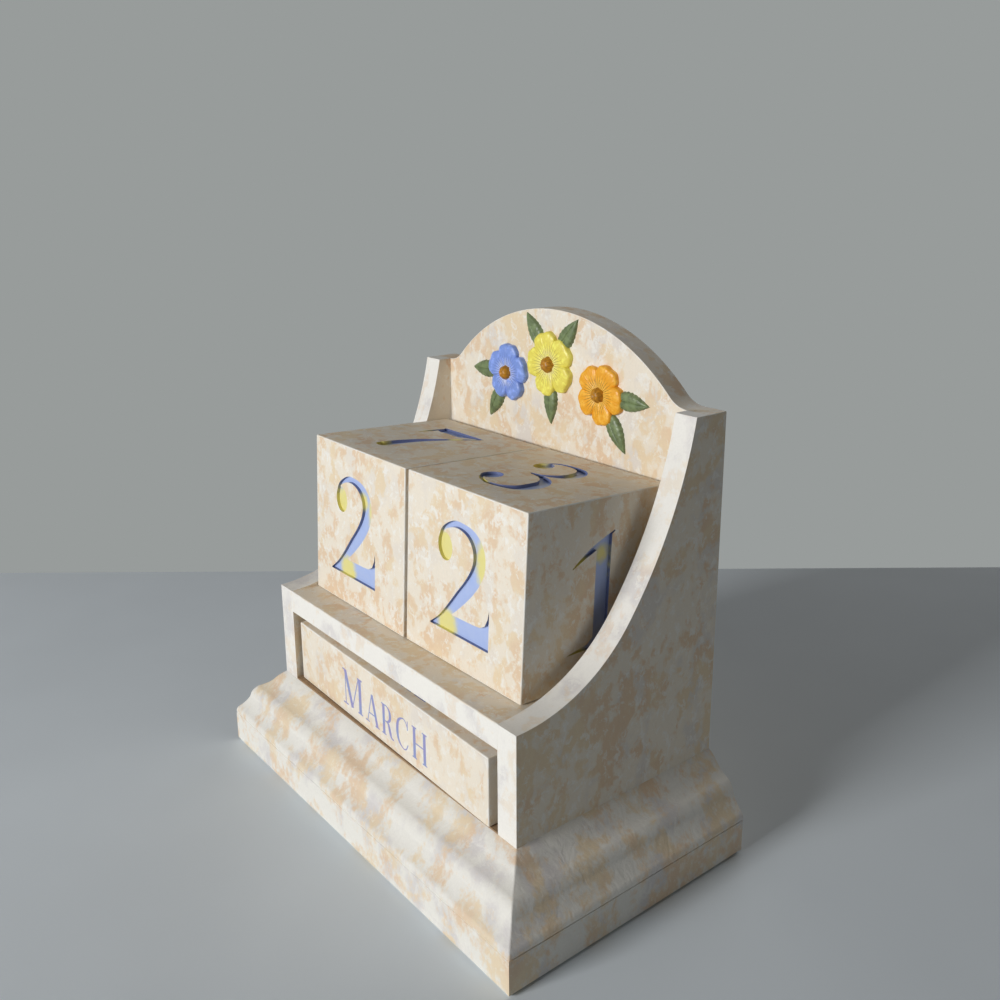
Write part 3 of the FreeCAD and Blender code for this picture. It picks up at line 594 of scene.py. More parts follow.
def block(node, half, edge, inlays, depth, turn):
    """A block in a node's place, with rounded edges and inlaid faces. Each face is a grid over a plain box, and
    each of its points is pulled to where it lies one edge radius from the box that is smaller by that radius all
    round."""
    half = np.array(half)
    tangents = edge * np.tan(np.radians(45 * np.arange(1, EDGE_STEPS + 1) / EDGE_STEPS))
    parts, uvs, numbers = [], [], []
    for side, loops in inlays.items():
        right, up, out = (np.array(axis, float) for axis in FACES[side])
        half_u, half_v, half_n = (abs(axis @ half) for axis in (right, up, out))
        inner_u, inner_v = half_u - edge, half_v - edge
        steps_u, steps_v = (
            np.concatenate([-(inner + tangents[::-1]), [-inner, inner], inner + tangents])
            for inner in (inner_u, inner_v)
        )
        u, v = np.meshgrid(steps_u, steps_v)
        rim = np.stack([u.ravel(), v.ravel(), np.zeros(u.size)], -1)
        middle = EDGE_STEPS * (len(steps_u) - 1) + EDGE_STEPS
        quads = np.delete(grid_faces(len(steps_v), len(steps_u)), middle, 0).tolist()
        border = np.array([(-inner_u, -inner_v), (inner_u, -inner_v), (inner_u, inner_v), (-inner_u, inner_v)])
        points, pieces, kinds = inlaid_face(border, loops, depth)
        local, faces = joined([(rim, quads), (points, pieces)])
        level = local[:, :2] @ np.stack([right, up]) + half_n * out
        inner = np.clip(level, edge - half, half - edge)
        away = level - inner
        away /= np.linalg.norm(away, axis=1, keepdims=True)
        parts.append((inner + edge * away + local[:, 2:] * out, faces))
        uvs.append(local[:, :2] / (2 * np.array([half_u, half_v])) + 0.5)
        numbers += [EDGE_MATERIAL] * len(quads) + kinds
    verts, faces = joined(parts)
    verts = verts @ np.array(turn).T + np.array((BOX[node][0] + BOX[node][1]) / 2)
    return new_piece(node + "_block", verts, faces, np.vstack(uvs), numbers, closed=False)


def on_panel(middle, out, aside, turn, lift):
    """Points on the back panel's front: out and aside from a middle, turned, and lifted off it."""
    x = out * math.cos(turn) - aside * math.sin(turn)
    z = out * math.sin(turn) + aside * math.cos(turn)
    return np.stack([middle[X] + x, BACK_INSIDE - lift, middle[Z] + z], -1).reshape(-1, 3)


# Materials


SMOOTH = {"interpolation_type": "SMOOTHSTEP"}
COLOUR = {"data_type": "RGBA"}


def add(tree, kind, options=None, out=0, **inputs):
    """Adds a node, sets its options, and sets or links its inputs by name, or by number after an underscore. Gives
    one of its outputs."""
    node = tree.nodes.new("ShaderNode" + kind)
    for key, value in (options or {}).items():
        setattr(node, key, value)
    for key, value in inputs.items():
        socket = node.inputs[int(key[1:]) if key[0] == "_" else key.replace("_", " ")]
        if isinstance(value, bpy.types.NodeSocket):
            tree.links.new(value, socket)
        else:
            socket.default_value = value
    return node.outputs[out] if node.outputs else node


def rgba(colour):
    return (*colour, 1.0)


def per_mm(size_mm):
    """Scale at which a noise's blotches measure about this many millimetres."""
    return 1 / (size_mm * MM)


def board_grain(tree, at):
    """Colour of raw fibreboard: a brown felt, mottled at 0.8 mm."""
    board = colours().board
    grain = add(tree, "TexNoise", Vector=at, Scale=per_mm(0.8), Detail=4.0, Roughness=0.7)
    dark = add(tree, "MapRange", SMOOTH, Value=grain, From_Min=0.35, From_Max=0.65)
    return add(tree, "Mix", COLOUR, out=2, _0=dark, _6=rgba(board), _7=rgba(0.72 * v for v in board))


# Finishes: each function gets a material's nodes and its Object coordinates, and gives its surface


def laminate(tree, at):
    """Laminated table top, quite matt, mottled at 60 mm."""
    base = np.array(colours().floor)
    blots = add(tree, "TexNoise", Vector=at, Scale=per_mm(60.0), Detail=2.0, Roughness=0.55)
    mottle = add(tree, "MapRange", SMOOTH, Value=blots, From_Min=0.3, From_Max=0.7)
    colour = add(tree, "Mix", COLOUR, out=2, _0=mottle, _6=rgba(base * 0.97), _7=rgba(base))
    return add(tree, "BsdfPrincipled", Base_Color=colour, Roughness=0.8, Specular_IOR_Level=0.2)


def raw_board(tree, at):
    """Fibreboard where no paper was drawn over it: brown and quite matt. On the slot floor its brown also stands
    in for the shade along the foot of the front bar.
    """
    return add(tree, "BsdfPrincipled", Base_Color=board_grain(tree, at), Roughness=0.8, IOR=1.46)


BORED_SHARE = 0.92  # the bores in the slab lie in an oval with this share of the box's half width and half depth


def printed_paper(
    tree, place, ground, shift, patch_mm=7.0, cover=0.45, softness=0.05, apricot=0.85, haze=0.3, chalk=0.6,
    wrinkle=0.0, bare_underneath=False,
):
    """Fibreboard wrapped in matt printed paper that imitates sponged stone: ragged patches of up to a centimetre,
    apricot in places and straw in others, with chalky flecks of one to three millimetres and faint grey clouds.
    cover is how much of the ground the patches hide and softness how blurred they are. wrinkle lifts the paper,
    most where it is drawn over a moulding. The paper's tooth is 0.5 mm. With bare_underneath the bottom and what is
    bored into it stay raw board."""
    c = colours()
    at = add(tree, "Mapping", Vector=place, Location=shift, Scale=(1.0, 1.0, 0.8))
    blots = add(tree, "TexNoise", Vector=at, Scale=per_mm(patch_mm), Detail=7.0, Roughness=0.64, Distortion=0.25)
    torn = add(tree, "TexNoise", Vector=at, Scale=per_mm(2.0), Detail=4.0, Roughness=0.68, Distortion=0.1)
    ragged = add(tree, "Math", {"operation": "MULTIPLY_ADD"}, _0=torn, _1=0.3, _2=blots)
    edge = 0.66 + 0.2 * (0.5 - cover)
    limits = {"From_Min": edge - softness, "From_Max": edge + softness}
    patched = add(tree, "MapRange", SMOOTH, Value=ragged, **limits, To_Max=apricot)
    specks = add(tree, "TexNoise", Vector=at, Scale=per_mm(2.4), Detail=5.0, Roughness=0.72, Distortion=0.4)
    flecked = add(tree, "MapRange", SMOOTH, Value=specks, From_Min=0.53, From_Max=0.62, To_Max=chalk)
    warmth = add(tree, "TexNoise", Vector=at, Scale=per_mm(15.0), Detail=4.0, Roughness=0.6, Distortion=0.3)
    warm = add(tree, "MapRange", SMOOTH, Value=warmth, From_Min=0.42, From_Max=0.58)
    clouds = add(tree, "TexNoise", Vector=at, Scale=per_mm(9.0), Detail=5.0, Roughness=0.55)
    veiled = add(tree, "MapRange", SMOOTH, Value=clouds, From_Min=0.48, From_Max=0.64, To_Max=haze)
    tint = add(tree, "Mix", COLOUR, out=2, _0=warm, _6=rgba(c.apricot), _7=rgba(c.straw))
    colour = add(tree, "Mix", COLOUR, out=2, _0=veiled, _6=rgba(getattr(c, ground)), _7=rgba(c.haze))
    colour = add(tree, "Mix", COLOUR, out=2, _0=patched, _6=colour, _7=tint)
    colour = add(tree, "Mix", COLOUR, out=2, _0=flecked, _6=colour, _7=rgba(c.chalk))
    tooth = add(tree, "TexNoise", Vector=at, Scale=per_mm(0.5), Detail=2.0, Roughness=0.55)
    shade = add(tree, "MapRange", Value=tooth, To_Min=0.93, To_Max=1.03)
    colour = add(tree, "Mix", {**COLOUR, "blend_type": "MULTIPLY"}, out=2, _0=1.0, _6=colour, _7=shade)
    relief = add(tree, "Bump", Strength=0.5, Distance=0.03 * MM, Height=tooth)
    if wrinkle:
        folds = add(tree, "TexNoise", Vector=at, Scale=per_mm(4.0), Detail=4.0, Roughness=0.6, Distortion=1.5)
        relief = add(tree, "Bump", Strength=wrinkle, Distance=0.6 * MM, Height=folds, Normal=relief)
    if bare_underneath:
        height = add(tree, "SeparateXYZ", out=2, Vector=place)
        bottom = add(tree, "Math", {"operation": "LESS_THAN"}, _0=height, _1=0.1 * MM)
        oval_scale = (1 / (BORED_SHARE * HALF_WIDTH), -1 / (BORED_SHARE * FRONT), 0.0)
        shares = add(tree, "Mapping", Vector=place, Scale=oval_scale)
        inward = add(tree, "VectorMath", {"operation": "LENGTH"}, out="Value", _0=shares)
        bored = add(tree, "Math", {"operation": "LESS_THAN"}, _0=inward, _1=1.0)
        under = add(tree, "Math", {"operation": "MAXIMUM"}, _0=bottom, _1=bored)
        colour = add(tree, "Mix", COLOUR, out=2, _0=under, _6=colour, _7=board_grain(tree, place))
    return add(tree, "BsdfPrincipled", Base_Color=colour, Roughness=0.6, IOR=1.46, Normal=relief)


def edge_highlight_paint(tree, at):
    """Pale paint on the rounded edges that stands in for the highlight along them: chalk mottled with cream, a
    little smoother.
    """
    blots = add(tree, "TexNoise", Vector=at, Scale=per_mm(3.0), Detail=4.0, Roughness=0.55)
    worn = add(tree, "MapRange", SMOOTH, Value=blots, From_Min=0.4, From_Max=0.62)
    colour = add(tree, "Mix", COLOUR, out=2, _0=worn, _6=rgba(colours().chalk), _7=rgba(colours().cream))
    return add(tree, "BsdfPrincipled", Base_Color=colour, Roughness=0.5, IOR=1.46)


# Pools of the second paint on a cube's face: across, up and radius as shares of the face
POOLS = ((0.33, 0.63, 0.13), (0.86, 0.635, 0.29), (0.355, 0.212, 0.108), (0.535, 0.69, 0.07))
POOL_BLUR = 0.03


def water_paint(tree, at, base, wet):
    """Water-based paint in the engraving, satin: one colour that runs into yellow in soft pools, at the head, on
    the right of the bowl, at the foot and high in the middle, and thins to chalk in streaks where wet is above
    zero. On the walls of the engraving that colour is a deeper blue, painted shade of the recess. UV runs over
    the cube's face from 0 to 1."""
    c = colours()
    uv = add(tree, "UVMap", {"uv_map": "surface"})
    streaks = add(tree, "TexNoise", Vector=at, Scale=per_mm(1.6), Detail=3.0, Roughness=0.55)
    pools = 0.0
    for x, y, radius in POOLS:
        span = add(tree, "VectorMath", {"operation": "DISTANCE"}, out="Value", _0=uv, _1=(x, y, 0.0))
        frayed = add(tree, "Math", {"operation": "MULTIPLY_ADD"}, _0=streaks, _1=0.05, _2=span)
        limits = {"From_Min": radius + POOL_BLUR, "From_Max": radius - POOL_BLUR}
        pool = add(tree, "MapRange", SMOOTH, Value=frayed, **limits)
        pools = add(tree, "Math", {"operation": "MAXIMUM"}, _0=pool, _1=pools)
    thin = add(tree, "Math", {"operation": "MULTIPLY"}, _0=streaks, _1=wet)
    colour = add(tree, "Mix", COLOUR, out=2, _0=pools, _6=rgba(getattr(c, base)), _7=rgba(c.numeral_yellow))
    colour = add(tree, "Mix", COLOUR, out=2, _0=thin, _6=colour, _7=rgba(c.chalk))
    return add(tree, "BsdfPrincipled", Base_Color=colour, Roughness=0.42, IOR=1.5)


def screen_ink(tree, at):
    """Screen-printed ink, flat on the paper and a little uneven: blue that turns lilac here and there."""
    ink = colours().ink
    blots = add(tree, "TexNoise", Vector=at, Scale=per_mm(5.0), Detail=2.0, Roughness=0.55)
    turned_lilac = add(tree, "MapRange", SMOOTH, Value=blots, From_Min=0.42, From_Max=0.62)
    lilac = (ink[0] * 1.12, ink[1] * 0.92, ink[2] * 0.97)
    colour = add(tree, "Mix", COLOUR, out=2, _0=turned_lilac, _6=rgba(ink), _7=rgba(lilac))
    return add(tree, "BsdfPrincipled", Base_Color=colour, Roughness=0.5, IOR=1.48)


PETAL_VEINS = 35  # all round a flower


def painted_petal(tree, at, colour, throat, vein):
    """Hand-painted cast resin, satin: a paler throat, and fine dark veins that fan out from it and fade half-way.
    UV runs out from the flower's middle and round it."""
    body = getattr(colours(), colour)
    bright = [min(1.0, 1.25 * v + 0.04) for v in body]
    uv = add(tree, "UVMap", {"uv_map": "surface"})
    out, round_it = (add(tree, "SeparateXYZ", out=k, Vector=uv) for k in (0, 1))
    brushed = add(tree, "TexNoise", Vector=at, Scale=per_mm(1.5), Detail=3.0, Roughness=0.55)
    wavy = add(tree, "Math", {"operation": "MULTIPLY_ADD"}, _0=brushed, _1=0.02, _2=round_it)
    turns = add(tree, "Math", {"operation": "MULTIPLY"}, _0=wavy, _1=2 * math.pi * PETAL_VEINS)
    fan = add(tree, "Math", {"operation": "SINE"}, _0=turns)
    lines = add(tree, "MapRange", SMOOTH, Value=fan, From_Min=0.72, From_Max=0.98)
    near = add(tree, "MapRange", SMOOTH, Value=out, From_Min=0.78, From_Max=0.3)
    veined = add(tree, "Math", {"operation": "MULTIPLY"}, _0=lines, _1=near)
    spread = add(tree, "MapRange", SMOOTH, Value=out, From_Min=0.18, From_Max=0.6)
    dabbed = add(tree, "MapRange", SMOOTH, Value=brushed, From_Min=0.45, From_Max=0.7)
    paint = add(tree, "Mix", COLOUR, out=2, _0=spread, _6=rgba(linear(throat)), _7=rgba(body))
    paint = add(tree, "Mix", COLOUR, out=2, _0=dabbed, _6=paint, _7=rgba(bright))
    paint = add(tree, "Mix", COLOUR, out=2, _0=veined, _6=paint, _7=rgba(linear(vein)))
    return add(tree, "BsdfPrincipled", Base_Color=paint, Roughness=0.38, IOR=1.5)


def painted_resin(tree, at, colour, blotch_mm=2.0):
    """Hand-painted cast resin, satin: darker where the brush overlapped."""
    body = getattr(colours(), colour)
    blots = add(tree, "TexNoise", Vector=at, Scale=per_mm(blotch_mm), Detail=3.0, Roughness=0.55)
    thin = add(tree, "MapRange", SMOOTH, Value=blots, From_Min=0.35, From_Max=0.65)
    paint = add(tree, "Mix", COLOUR, out=2, _0=thin, _6=rgba(0.62 * v for v in body), _7=rgba(body))
    return add(tree, "BsdfPrincipled", Base_Color=paint, Roughness=0.4, IOR=1.5)


def steel(tree, at, colour, rough):
    """Steel as drawn or zinc-plated: fine marks of 0.4 mm blur its reflections by turns."""
    marks = add(tree, "TexNoise", Vector=at, Scale=per_mm(0.4), Detail=2.0, Roughness=0.55)
    blur = add(tree, "MapRange", Value=marks, To_Min=rough - 0.08, To_Max=rough + 0.08)
    return add(tree, "BsdfPrincipled", Base_Color=rgba(linear(colour)), Metallic=1.0, Roughness=blur)


BOX_PAPER = dict(shift=(0.013, 0.02, 0.0), patch_mm=8.0, wrinkle=0.08)
PLINTH_PAPER = dict(
    ground="stone", shift=(0.31, 0.17, 0.05), patch_mm=10.0, cover=0.44, softness=0.07, haze=0.75, chalk=0.4
)
CUBE_PAPER = dict(ground="cream", shift=(0.6, 0.42, 0.23), patch_mm=6.0, haze=0.25, chalk=0.75)
BAR_PAPER = dict(ground="cream", shift=(0.8, 0.1, 0.62), cover=0.42, haze=0.35, softness=0.06)
FINISHES = {
    "matt_laminate": (laminate, {}),
    "printed_paper_box": (printed_paper, dict(BOX_PAPER, ground="cream", haze=0.5, chalk=0.7)),
    "printed_paper_frame": (
        printed_paper,
        dict(BOX_PAPER, ground="chalk", cover=0.2, apricot=0.35, haze=0.6, chalk=0.8),
    ),
    "printed_paper_plinth": (printed_paper, dict(PLINTH_PAPER, wrinkle=0.22)),
    "printed_paper_slab": (printed_paper, dict(PLINTH_PAPER, wrinkle=0.1, bare_underneath=True)),
    "printed_paper_cube": (printed_paper, CUBE_PAPER),
    "printed_paper_bar": (printed_paper, BAR_PAPER),
    "raw_board_and_slot_shade": (raw_board, {}),
    "edge_highlight_paint": (edge_highlight_paint, {}),
    "water_paint_floor": (water_paint, dict(base="numeral_blue", wet=0.18)),
    # Walls of the engraving: a deeper blue base, painted shade of the recess
    "water_paint_wall_shade": (water_paint, dict(base="numeral_wall_shade", wet=0.0)),
    "screen_ink": (screen_ink, {}),
    "painted_resin_blue": (painted_petal, dict(colour="petal_blue", throat="#C9D4F2", vein="#35459A")),
    "painted_resin_yellow": (painted_petal, dict(colour="petal_yellow", throat="#F4EBA0", vein="#8C7A2A")),
    "painted_resin_amber": (painted_petal, dict(colour="petal_amber", throat="#F7C65A", vein="#4A2E12")),
    "painted_resin_eye": (painted_resin, dict(colour="eye", blotch_mm=0.8)),
    "painted_resin_leaf": (painted_resin, dict(colour="leaf")),
    "zinc_plated_steel": (steel, dict(colour="#B9BBB6", rough=0.34)),
    "bright_steel": (steel, dict(colour="#C4C4C2", rough=0.24)),
}
# The second board finish is pale paint on the rounded edges, a painted highlight.
BOARD_FINISHES = ("printed_paper_box", "edge_highlight_paint", "printed_paper_frame")


@cache
def finish_of(name):
    """The material of this name, made on its first use."""
    material = bpy.data.materials.new(name)
    material.use_nodes = True
    tree = material.node_tree
    tree.nodes.clear()
    maker, settings = FINISHES[name]
    surface = maker(tree, add(tree, "TexCoord", out="Object"), **settings)
    add(tree, "OutputMaterial", Surface=surface)
    return material


# Operators, one for each piece or group of like pieces


TABLE_TURN = 0.895990


class CALENDAR_OT_stage(bpy.types.Operator):
    """Floor, soft lamps, pale surroundings and the camera"""

    bl_idname = "calendar.stage"
    bl_label = "Stage"

    def execute(self, context):
        scene = context.scene
        scene.view_settings.view_transform = "Standard"
        camera = bpy.data.objects.new("camera", bpy.data.cameras.new("camera"))
        camera.location = (0.200612, -0.147094, 0.164952)
        camera.rotation_euler = (1.309591, 0.006137, TABLE_TURN)
        camera.data.sensor_width = 36
        camera.data.lens = 36.359
        camera.data.shift_y = -0.05
        camera.data.clip_start = 0.005
        scene.collection.objects.link(camera)
        scene.camera = camera
        self.floor()
        self.lamps(scene)
        return {"FINISHED"}

    def floor(self):
        """A table top whose far edge lies square to the camera's line of sight, a hand's breadth behind."""
        back, front, half = 0.165, -1.6, 1.6
        rows, columns = 9, 17
        away = np.array([-math.sin(TABLE_TURN), math.cos(TABLE_TURN)])
        aside = np.array([math.cos(TABLE_TURN), math.sin(TABLE_TURN)])
        along = np.linspace(front, back, rows)[:, None, None] * away
        across = np.linspace(-half, half, columns)[None, :, None] * aside
        flat = (along + across).reshape(-1, 2)
        verts = np.column_stack([flat, 0 * flat[:, 0]])
        piece = new_piece("floor", verts, grid_faces(rows, columns).tolist(), closed=False)
        dress(piece, "matt_laminate")

    def lamps(self, scene):
        """A key lamp in front, a wide one behind, and a world that is bright only where it is seen."""
        for name, place, size, power in (
            ("key", (-0.04, -1.0, 0.35), 0.3, 8.4),
            ("back", (-0.35, 1.0, 0.4), 0.9, 2.6),
        ):
            light = bpy.data.lights.new(name, "AREA")
            light.size = size
            light.energy = power
            lamp = bpy.data.objects.new(name, light)
            lamp.location = place
            aim = Vector((0, 0, 0.06)) - Vector(place)
            lamp.rotation_euler = aim.to_track_quat("-Z", "Y").to_euler()
            scene.collection.objects.link(lamp)
        world = bpy.data.worlds.new("pale surroundings")
        world.use_nodes = True
        tree = world.node_tree
        tree.nodes.clear()
        seen = 0.0
        for ray in ("Is Camera Ray", "Is Glossy Ray", "Is Transmission Ray"):
            is_ray = add(tree, "LightPath", out=ray)
            seen = add(tree, "Math", {"operation": "MAXIMUM"}, _0=is_ray, _1=seen)
        soft = add(tree, "Background", Color=rgba(linear("#F7F5F0")), Strength=0.08)
        wall = add(tree, "Background", Color=rgba(colours().wall), Strength=1.0)
        sky = add(tree, "MixShader", Fac=seen, _1=soft, _2=wall)
        add(tree, "OutputWorld", Surface=sky)
        scene.world = world


class CALENDAR_OT_side_panels(bpy.types.Operator):
    """Two side panels whose front edges sweep up in two tangent arcs"""

    bl_idname = "calendar.side_panels"
    bl_label = "Side panels"

    def execute(self, context):
        s = sizes()
        shoulder_front = REAR - s.shoulder_depth
        low = s.cove_share * (shoulder_front - FRONT)
        low_centre = np.array([FRONT, SHELF_FRONT + low])
        corner = np.array([shoulder_front, SHOULDER])
        inward_way = np.array([-math.cos(s.shoulder_lean), math.sin(s.shoulder_lean)])
        off = corner - low_centre
        high = (off @ off - low * low) / (-2 * (off @ inward_way + low))
        high_centre = corner + high * inward_way
        meet = low_centre + (low_centre - high_centre) * low / (high - low)
        upper = arc(high_centre, high, heading(high_centre, corner), heading(high_centre, meet), COVE_POINTS)
        lower = arc(low_centre, low, heading(low_centre, meet), -90, COVE_POINTS)
        rear = [(FRONT, SLAB_TOP), (BACK_INSIDE, SLAB_TOP), (BACK_INSIDE, SHOULDER)]
        slot = [(FRONT, SHELF_FRONT - BOARD), (FRONT, SLOT_FLOOR)]
        outline = np.vstack([rear, upper, lower[1:], slot])
        for side, name in ((-1, "side_panel_left"), (1, "side_panel_right")):
            inner, outer = side * HALF_INSIDE, side * HALF_WIDTH

            def plain(x, y, z, inner=inner):
                butts = (np.abs(x - inner) < TOUCHING) & (y < FRONT + BOARD) & (z < SHELF_FRONT + NEAR_SHELF)
                butts &= (z > SHELF_FRONT - BOARD) | (z < SLOT_FLOOR)
                return butts | (y > BACK_INSIDE - TOUCHING) | (z < SLAB_TOP + TOUCHING)

            def pale(nx, ny, nz):
                return (np.abs(nx) < 0.5) & (ny < 0.5)

            low_x, high_x = sorted((inner, outer))
            panel = prism(name + "_board", outline, low_x, high_x, lambda a, b, c: (c, a, b), plain, pale)
            finish(panel, "stand", "stone_print_box", [name], *BOARD_FINISHES)
        return {"FINISHED"}


class CALENDAR_OT_back_panel(bpy.types.Operator):
    """Back panel with level shoulders and an arch between two hollows"""

    bl_idname = "calendar.back_panel"
    bl_label = "Back panel"

    def execute(self, context):
        fillet = sizes().arch_fillet
        rise = ARCH_TOP - SHOULDER
        radius = (HALF_INSIDE**2 + rise**2) / (2 * rise) - fillet
        centre = np.array([0.0, ARCH_TOP - radius])
        hollow = np.array([HALF_INSIDE, SHOULDER + fillet])
        turn = heading(centre, hollow)
        right = arc(hollow, fillet, -90, turn - 180, HOLLOW_POINTS)
        arch = arc(centre, radius, turn, 180 - turn, ARCH_POINTS)
        left = (right * (-1, 1))[::-1]
        foot = [(-HALF_WIDTH, SLAB_TOP), (HALF_WIDTH, SLAB_TOP), (HALF_WIDTH, SHOULDER)]
        outline = np.vstack([foot, right, arch[1:-1], left, [(-HALF_WIDTH, SHOULDER)]])

        def plain(x, y, z):
            in_front = y < BACK_INSIDE + TOUCHING
            butts = in_front & (np.abs(x) > HALF_INSIDE - TOUCHING) & (z < SHOULDER + TOUCHING)
            return butts | (z < SLAB_TOP + TOUCHING)

        panel = prism("back_board", outline, BACK_INSIDE, REAR, lambda a, b, c: (a, c, b), plain)
        finish(panel, "stand", "stone_print_box", ["back_panel"], *BOARD_FINISHES[:2])
        return {"FINISHED"}


class CALENDAR_OT_shelf(bpy.types.Operator):
    """Shelf between the sides, falling towards the back"""

    bl_idname = "calendar.shelf"
    bl_label = "Shelf"

    def execute(self, context):
        fall = (BACK_INSIDE - FRONT) * math.tan(sizes().shelf_slope)
        under = [(FRONT, SHELF_FRONT - BOARD), (BACK_INSIDE, SHELF_FRONT - BOARD - fall)]
        over = [(BACK_INSIDE, SHELF_FRONT - fall), (FRONT, SHELF_FRONT)]

        def plain(x, y, z):
            return (y > FRONT + TOUCHING) | (np.abs(x) > HALF_INSIDE - TOUCHING)

        def pale(nx, ny, nz):
            return ny < -0.9

        span = (-HALF_INSIDE, HALF_INSIDE)
        board = prism("shelf_board", under + over, *span, lambda a, b, c: (c, a, b), plain, pale)
        finish(board, "stand", "stone_print_box", ["shelf"], *BOARD_FINISHES)
        return {"FINISHED"}


class CALENDAR_OT_plinth(bpy.types.Operator):
    """Stepped moulding round three sides of the plinth, and the finish of the boards under it"""

    bl_idname = "calendar.plinth"
    bl_label = "Plinth"

    def profile(self):
        """Out from the wall and up: each edge leaves its chord by a parabola, four times bow times t times one
        minus t, and a running mean softens the steps as thick paint does."""
        height = MOULDING_TOP - SLAB_TOP
        corners = np.array([(out * OVERHANG, SLAB_TOP + up * height) for out, up, _ in MOULDING_SHARES])
        bows = np.array([bow for _, _, bow in MOULDING_SHARES])[:-1]
        t = np.linspace(0, 1, EDGE_POINTS, endpoint=False)[None, :, None]
        chord = np.diff(corners, axis=0)
        normal = np.stack([-chord[:, 1], chord[:, 0]], -1)
        bulge = 4 * bows[:, None, None] * t * (1 - t) * normal[:, None, :]
        line = (corners[:-1, None, :] + t * chord[:, None, :] + bulge).reshape(-1, 2)
        line = np.vstack([line, corners[-1:]])
        soft = line.copy()
        end = SOFTENING // 2
        for column in (0, 1):
            soft[end:-end, column] = np.convolve(line[:, column], np.ones(SOFTENING) / SOFTENING, "valid")
        return np.vstack([[(0.0, SLAB_TOP)], soft])[::-1]

    def execute(self, context):
        """The profile goes along three sides, square at the back and round each mitre by a small quarter turn."""
        out, up = self.profile().T[:, :, None]
        rounding = np.minimum(sizes().moulding_arris, out)
        angle = np.linspace(0, math.pi / 2, 5)[None, :]
        corner_x = HALF_WIDTH + ((out - rounding) + rounding * np.sin(angle))
        corner_y = FRONT - ((out - rounding) + rounding * np.cos(angle))
        rear_x = HALF_WIDTH + out
        rear_y = 0 * out + REAR
        x = np.hstack([-rear_x, -corner_x[:, ::-1], corner_x, rear_x])
        y = np.hstack([rear_y, corner_y[:, ::-1], corner_y, rear_y])
        points = np.stack([x, y, np.broadcast_to(up, x.shape)], -1)
        rows, columns = x.shape
        faces = grid_faces(rows, columns, wrap_rows=True)[:, ::-1].tolist()
        faces += [(np.arange(rows) * columns).tolist(), (np.arange(rows)[::-1] * columns + columns - 1).tolist()]
        piece = new_piece("plinth_moulding", points.reshape(-1, 3), faces)
        mouldings = ("moulding_front", "moulding_left", "moulding_right")
        finish(piece, "stand", "stone_print_plinth", mouldings, "printed_paper_plinth")
        dress(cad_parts["base_slab"], "printed_paper_slab")
        # Bare brown board on the slot floor, which also stands in for the shade along the foot of the front bar.
        dress(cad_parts["plinth_core"], "raw_board_and_slot_shade")
        return {"FINISHED"}


class CALENDAR_OT_date_cubes(bpy.types.Operator):
    """Two loose cubes with engraved, painted numerals"""

    bl_idname = "calendar.date_cubes"
    bl_label = "Date cubes"

    def execute(self, context):
        s = sizes()
        half = (s.cube / 2,) * 3
        slope = Matrix.Rotation(-s.shelf_slope, 3, "X")
        # The last paint is pale paint on the rounded edges, a painted highlight.
        # The third paint is a deeper blue on the engraving's walls, painted shade of the recess.
        paints = ("printed_paper_cube", "water_paint_floor", "water_paint_wall_shade", "edge_highlight_paint")
        for node, twist, digits, shift in (
            ("date_cube_left", 0.0, "217860", -0.075),
            ("date_cube_right", s.right_cube_twist, "213450", -0.012),
        ):
            sides = ("front", "right", "top", "back", "left", "bottom")
            inlays = {side: numeral(digit, shift) for side, digit in zip(sides, digits)}
            cube = block(node, half, s.cube_edge, inlays, s.engraving, slope @ Matrix.Rotation(twist, 3, "Z"))
            finish(cube, node, "stone_print_cube", [node], *paints)
        return {"FINISHED"}


class CALENDAR_OT_month_bars(bpy.types.Operator):
    """Three loose bars with a month printed on each long face"""

    bl_idname = "calendar.month_bars"
    bl_label = "Month bars"

    def execute(self, context):
        s = sizes()
        half = (s.bar_length / 2, s.bar / 2, s.bar / 2)
        # The last paint is pale paint on the rounded edges, a painted highlight.
        paints = ("printed_paper_bar", "screen_ink", "screen_ink", "edge_highlight_paint")
        for node, twist, months in (
            ("month_bar_front", -s.front_bar_twist, ("MARCH", "APRIL", "MAY", "JUNE")),
            ("month_bar_middle", 0.0, ("JULY", "AUGUST", "SEPTEMBER", "OCTOBER")),
            ("month_bar_rear", 0.0, ("NOVEMBER", "DECEMBER", "JANUARY", "FEBRUARY")),
        ):
            inlays = {side: word(m) for side, m in zip(("front", "top", "rolled_back", "bottom"), months)}
            inlays.update(left=[], right=[])
            bar = block(node, half, s.bar_edge, inlays, 0.0, Matrix.Rotation(twist, 3, "Z"))
            finish(bar, node, "stone_print_bar", [node], *paints)
        return {"FINISHED"}


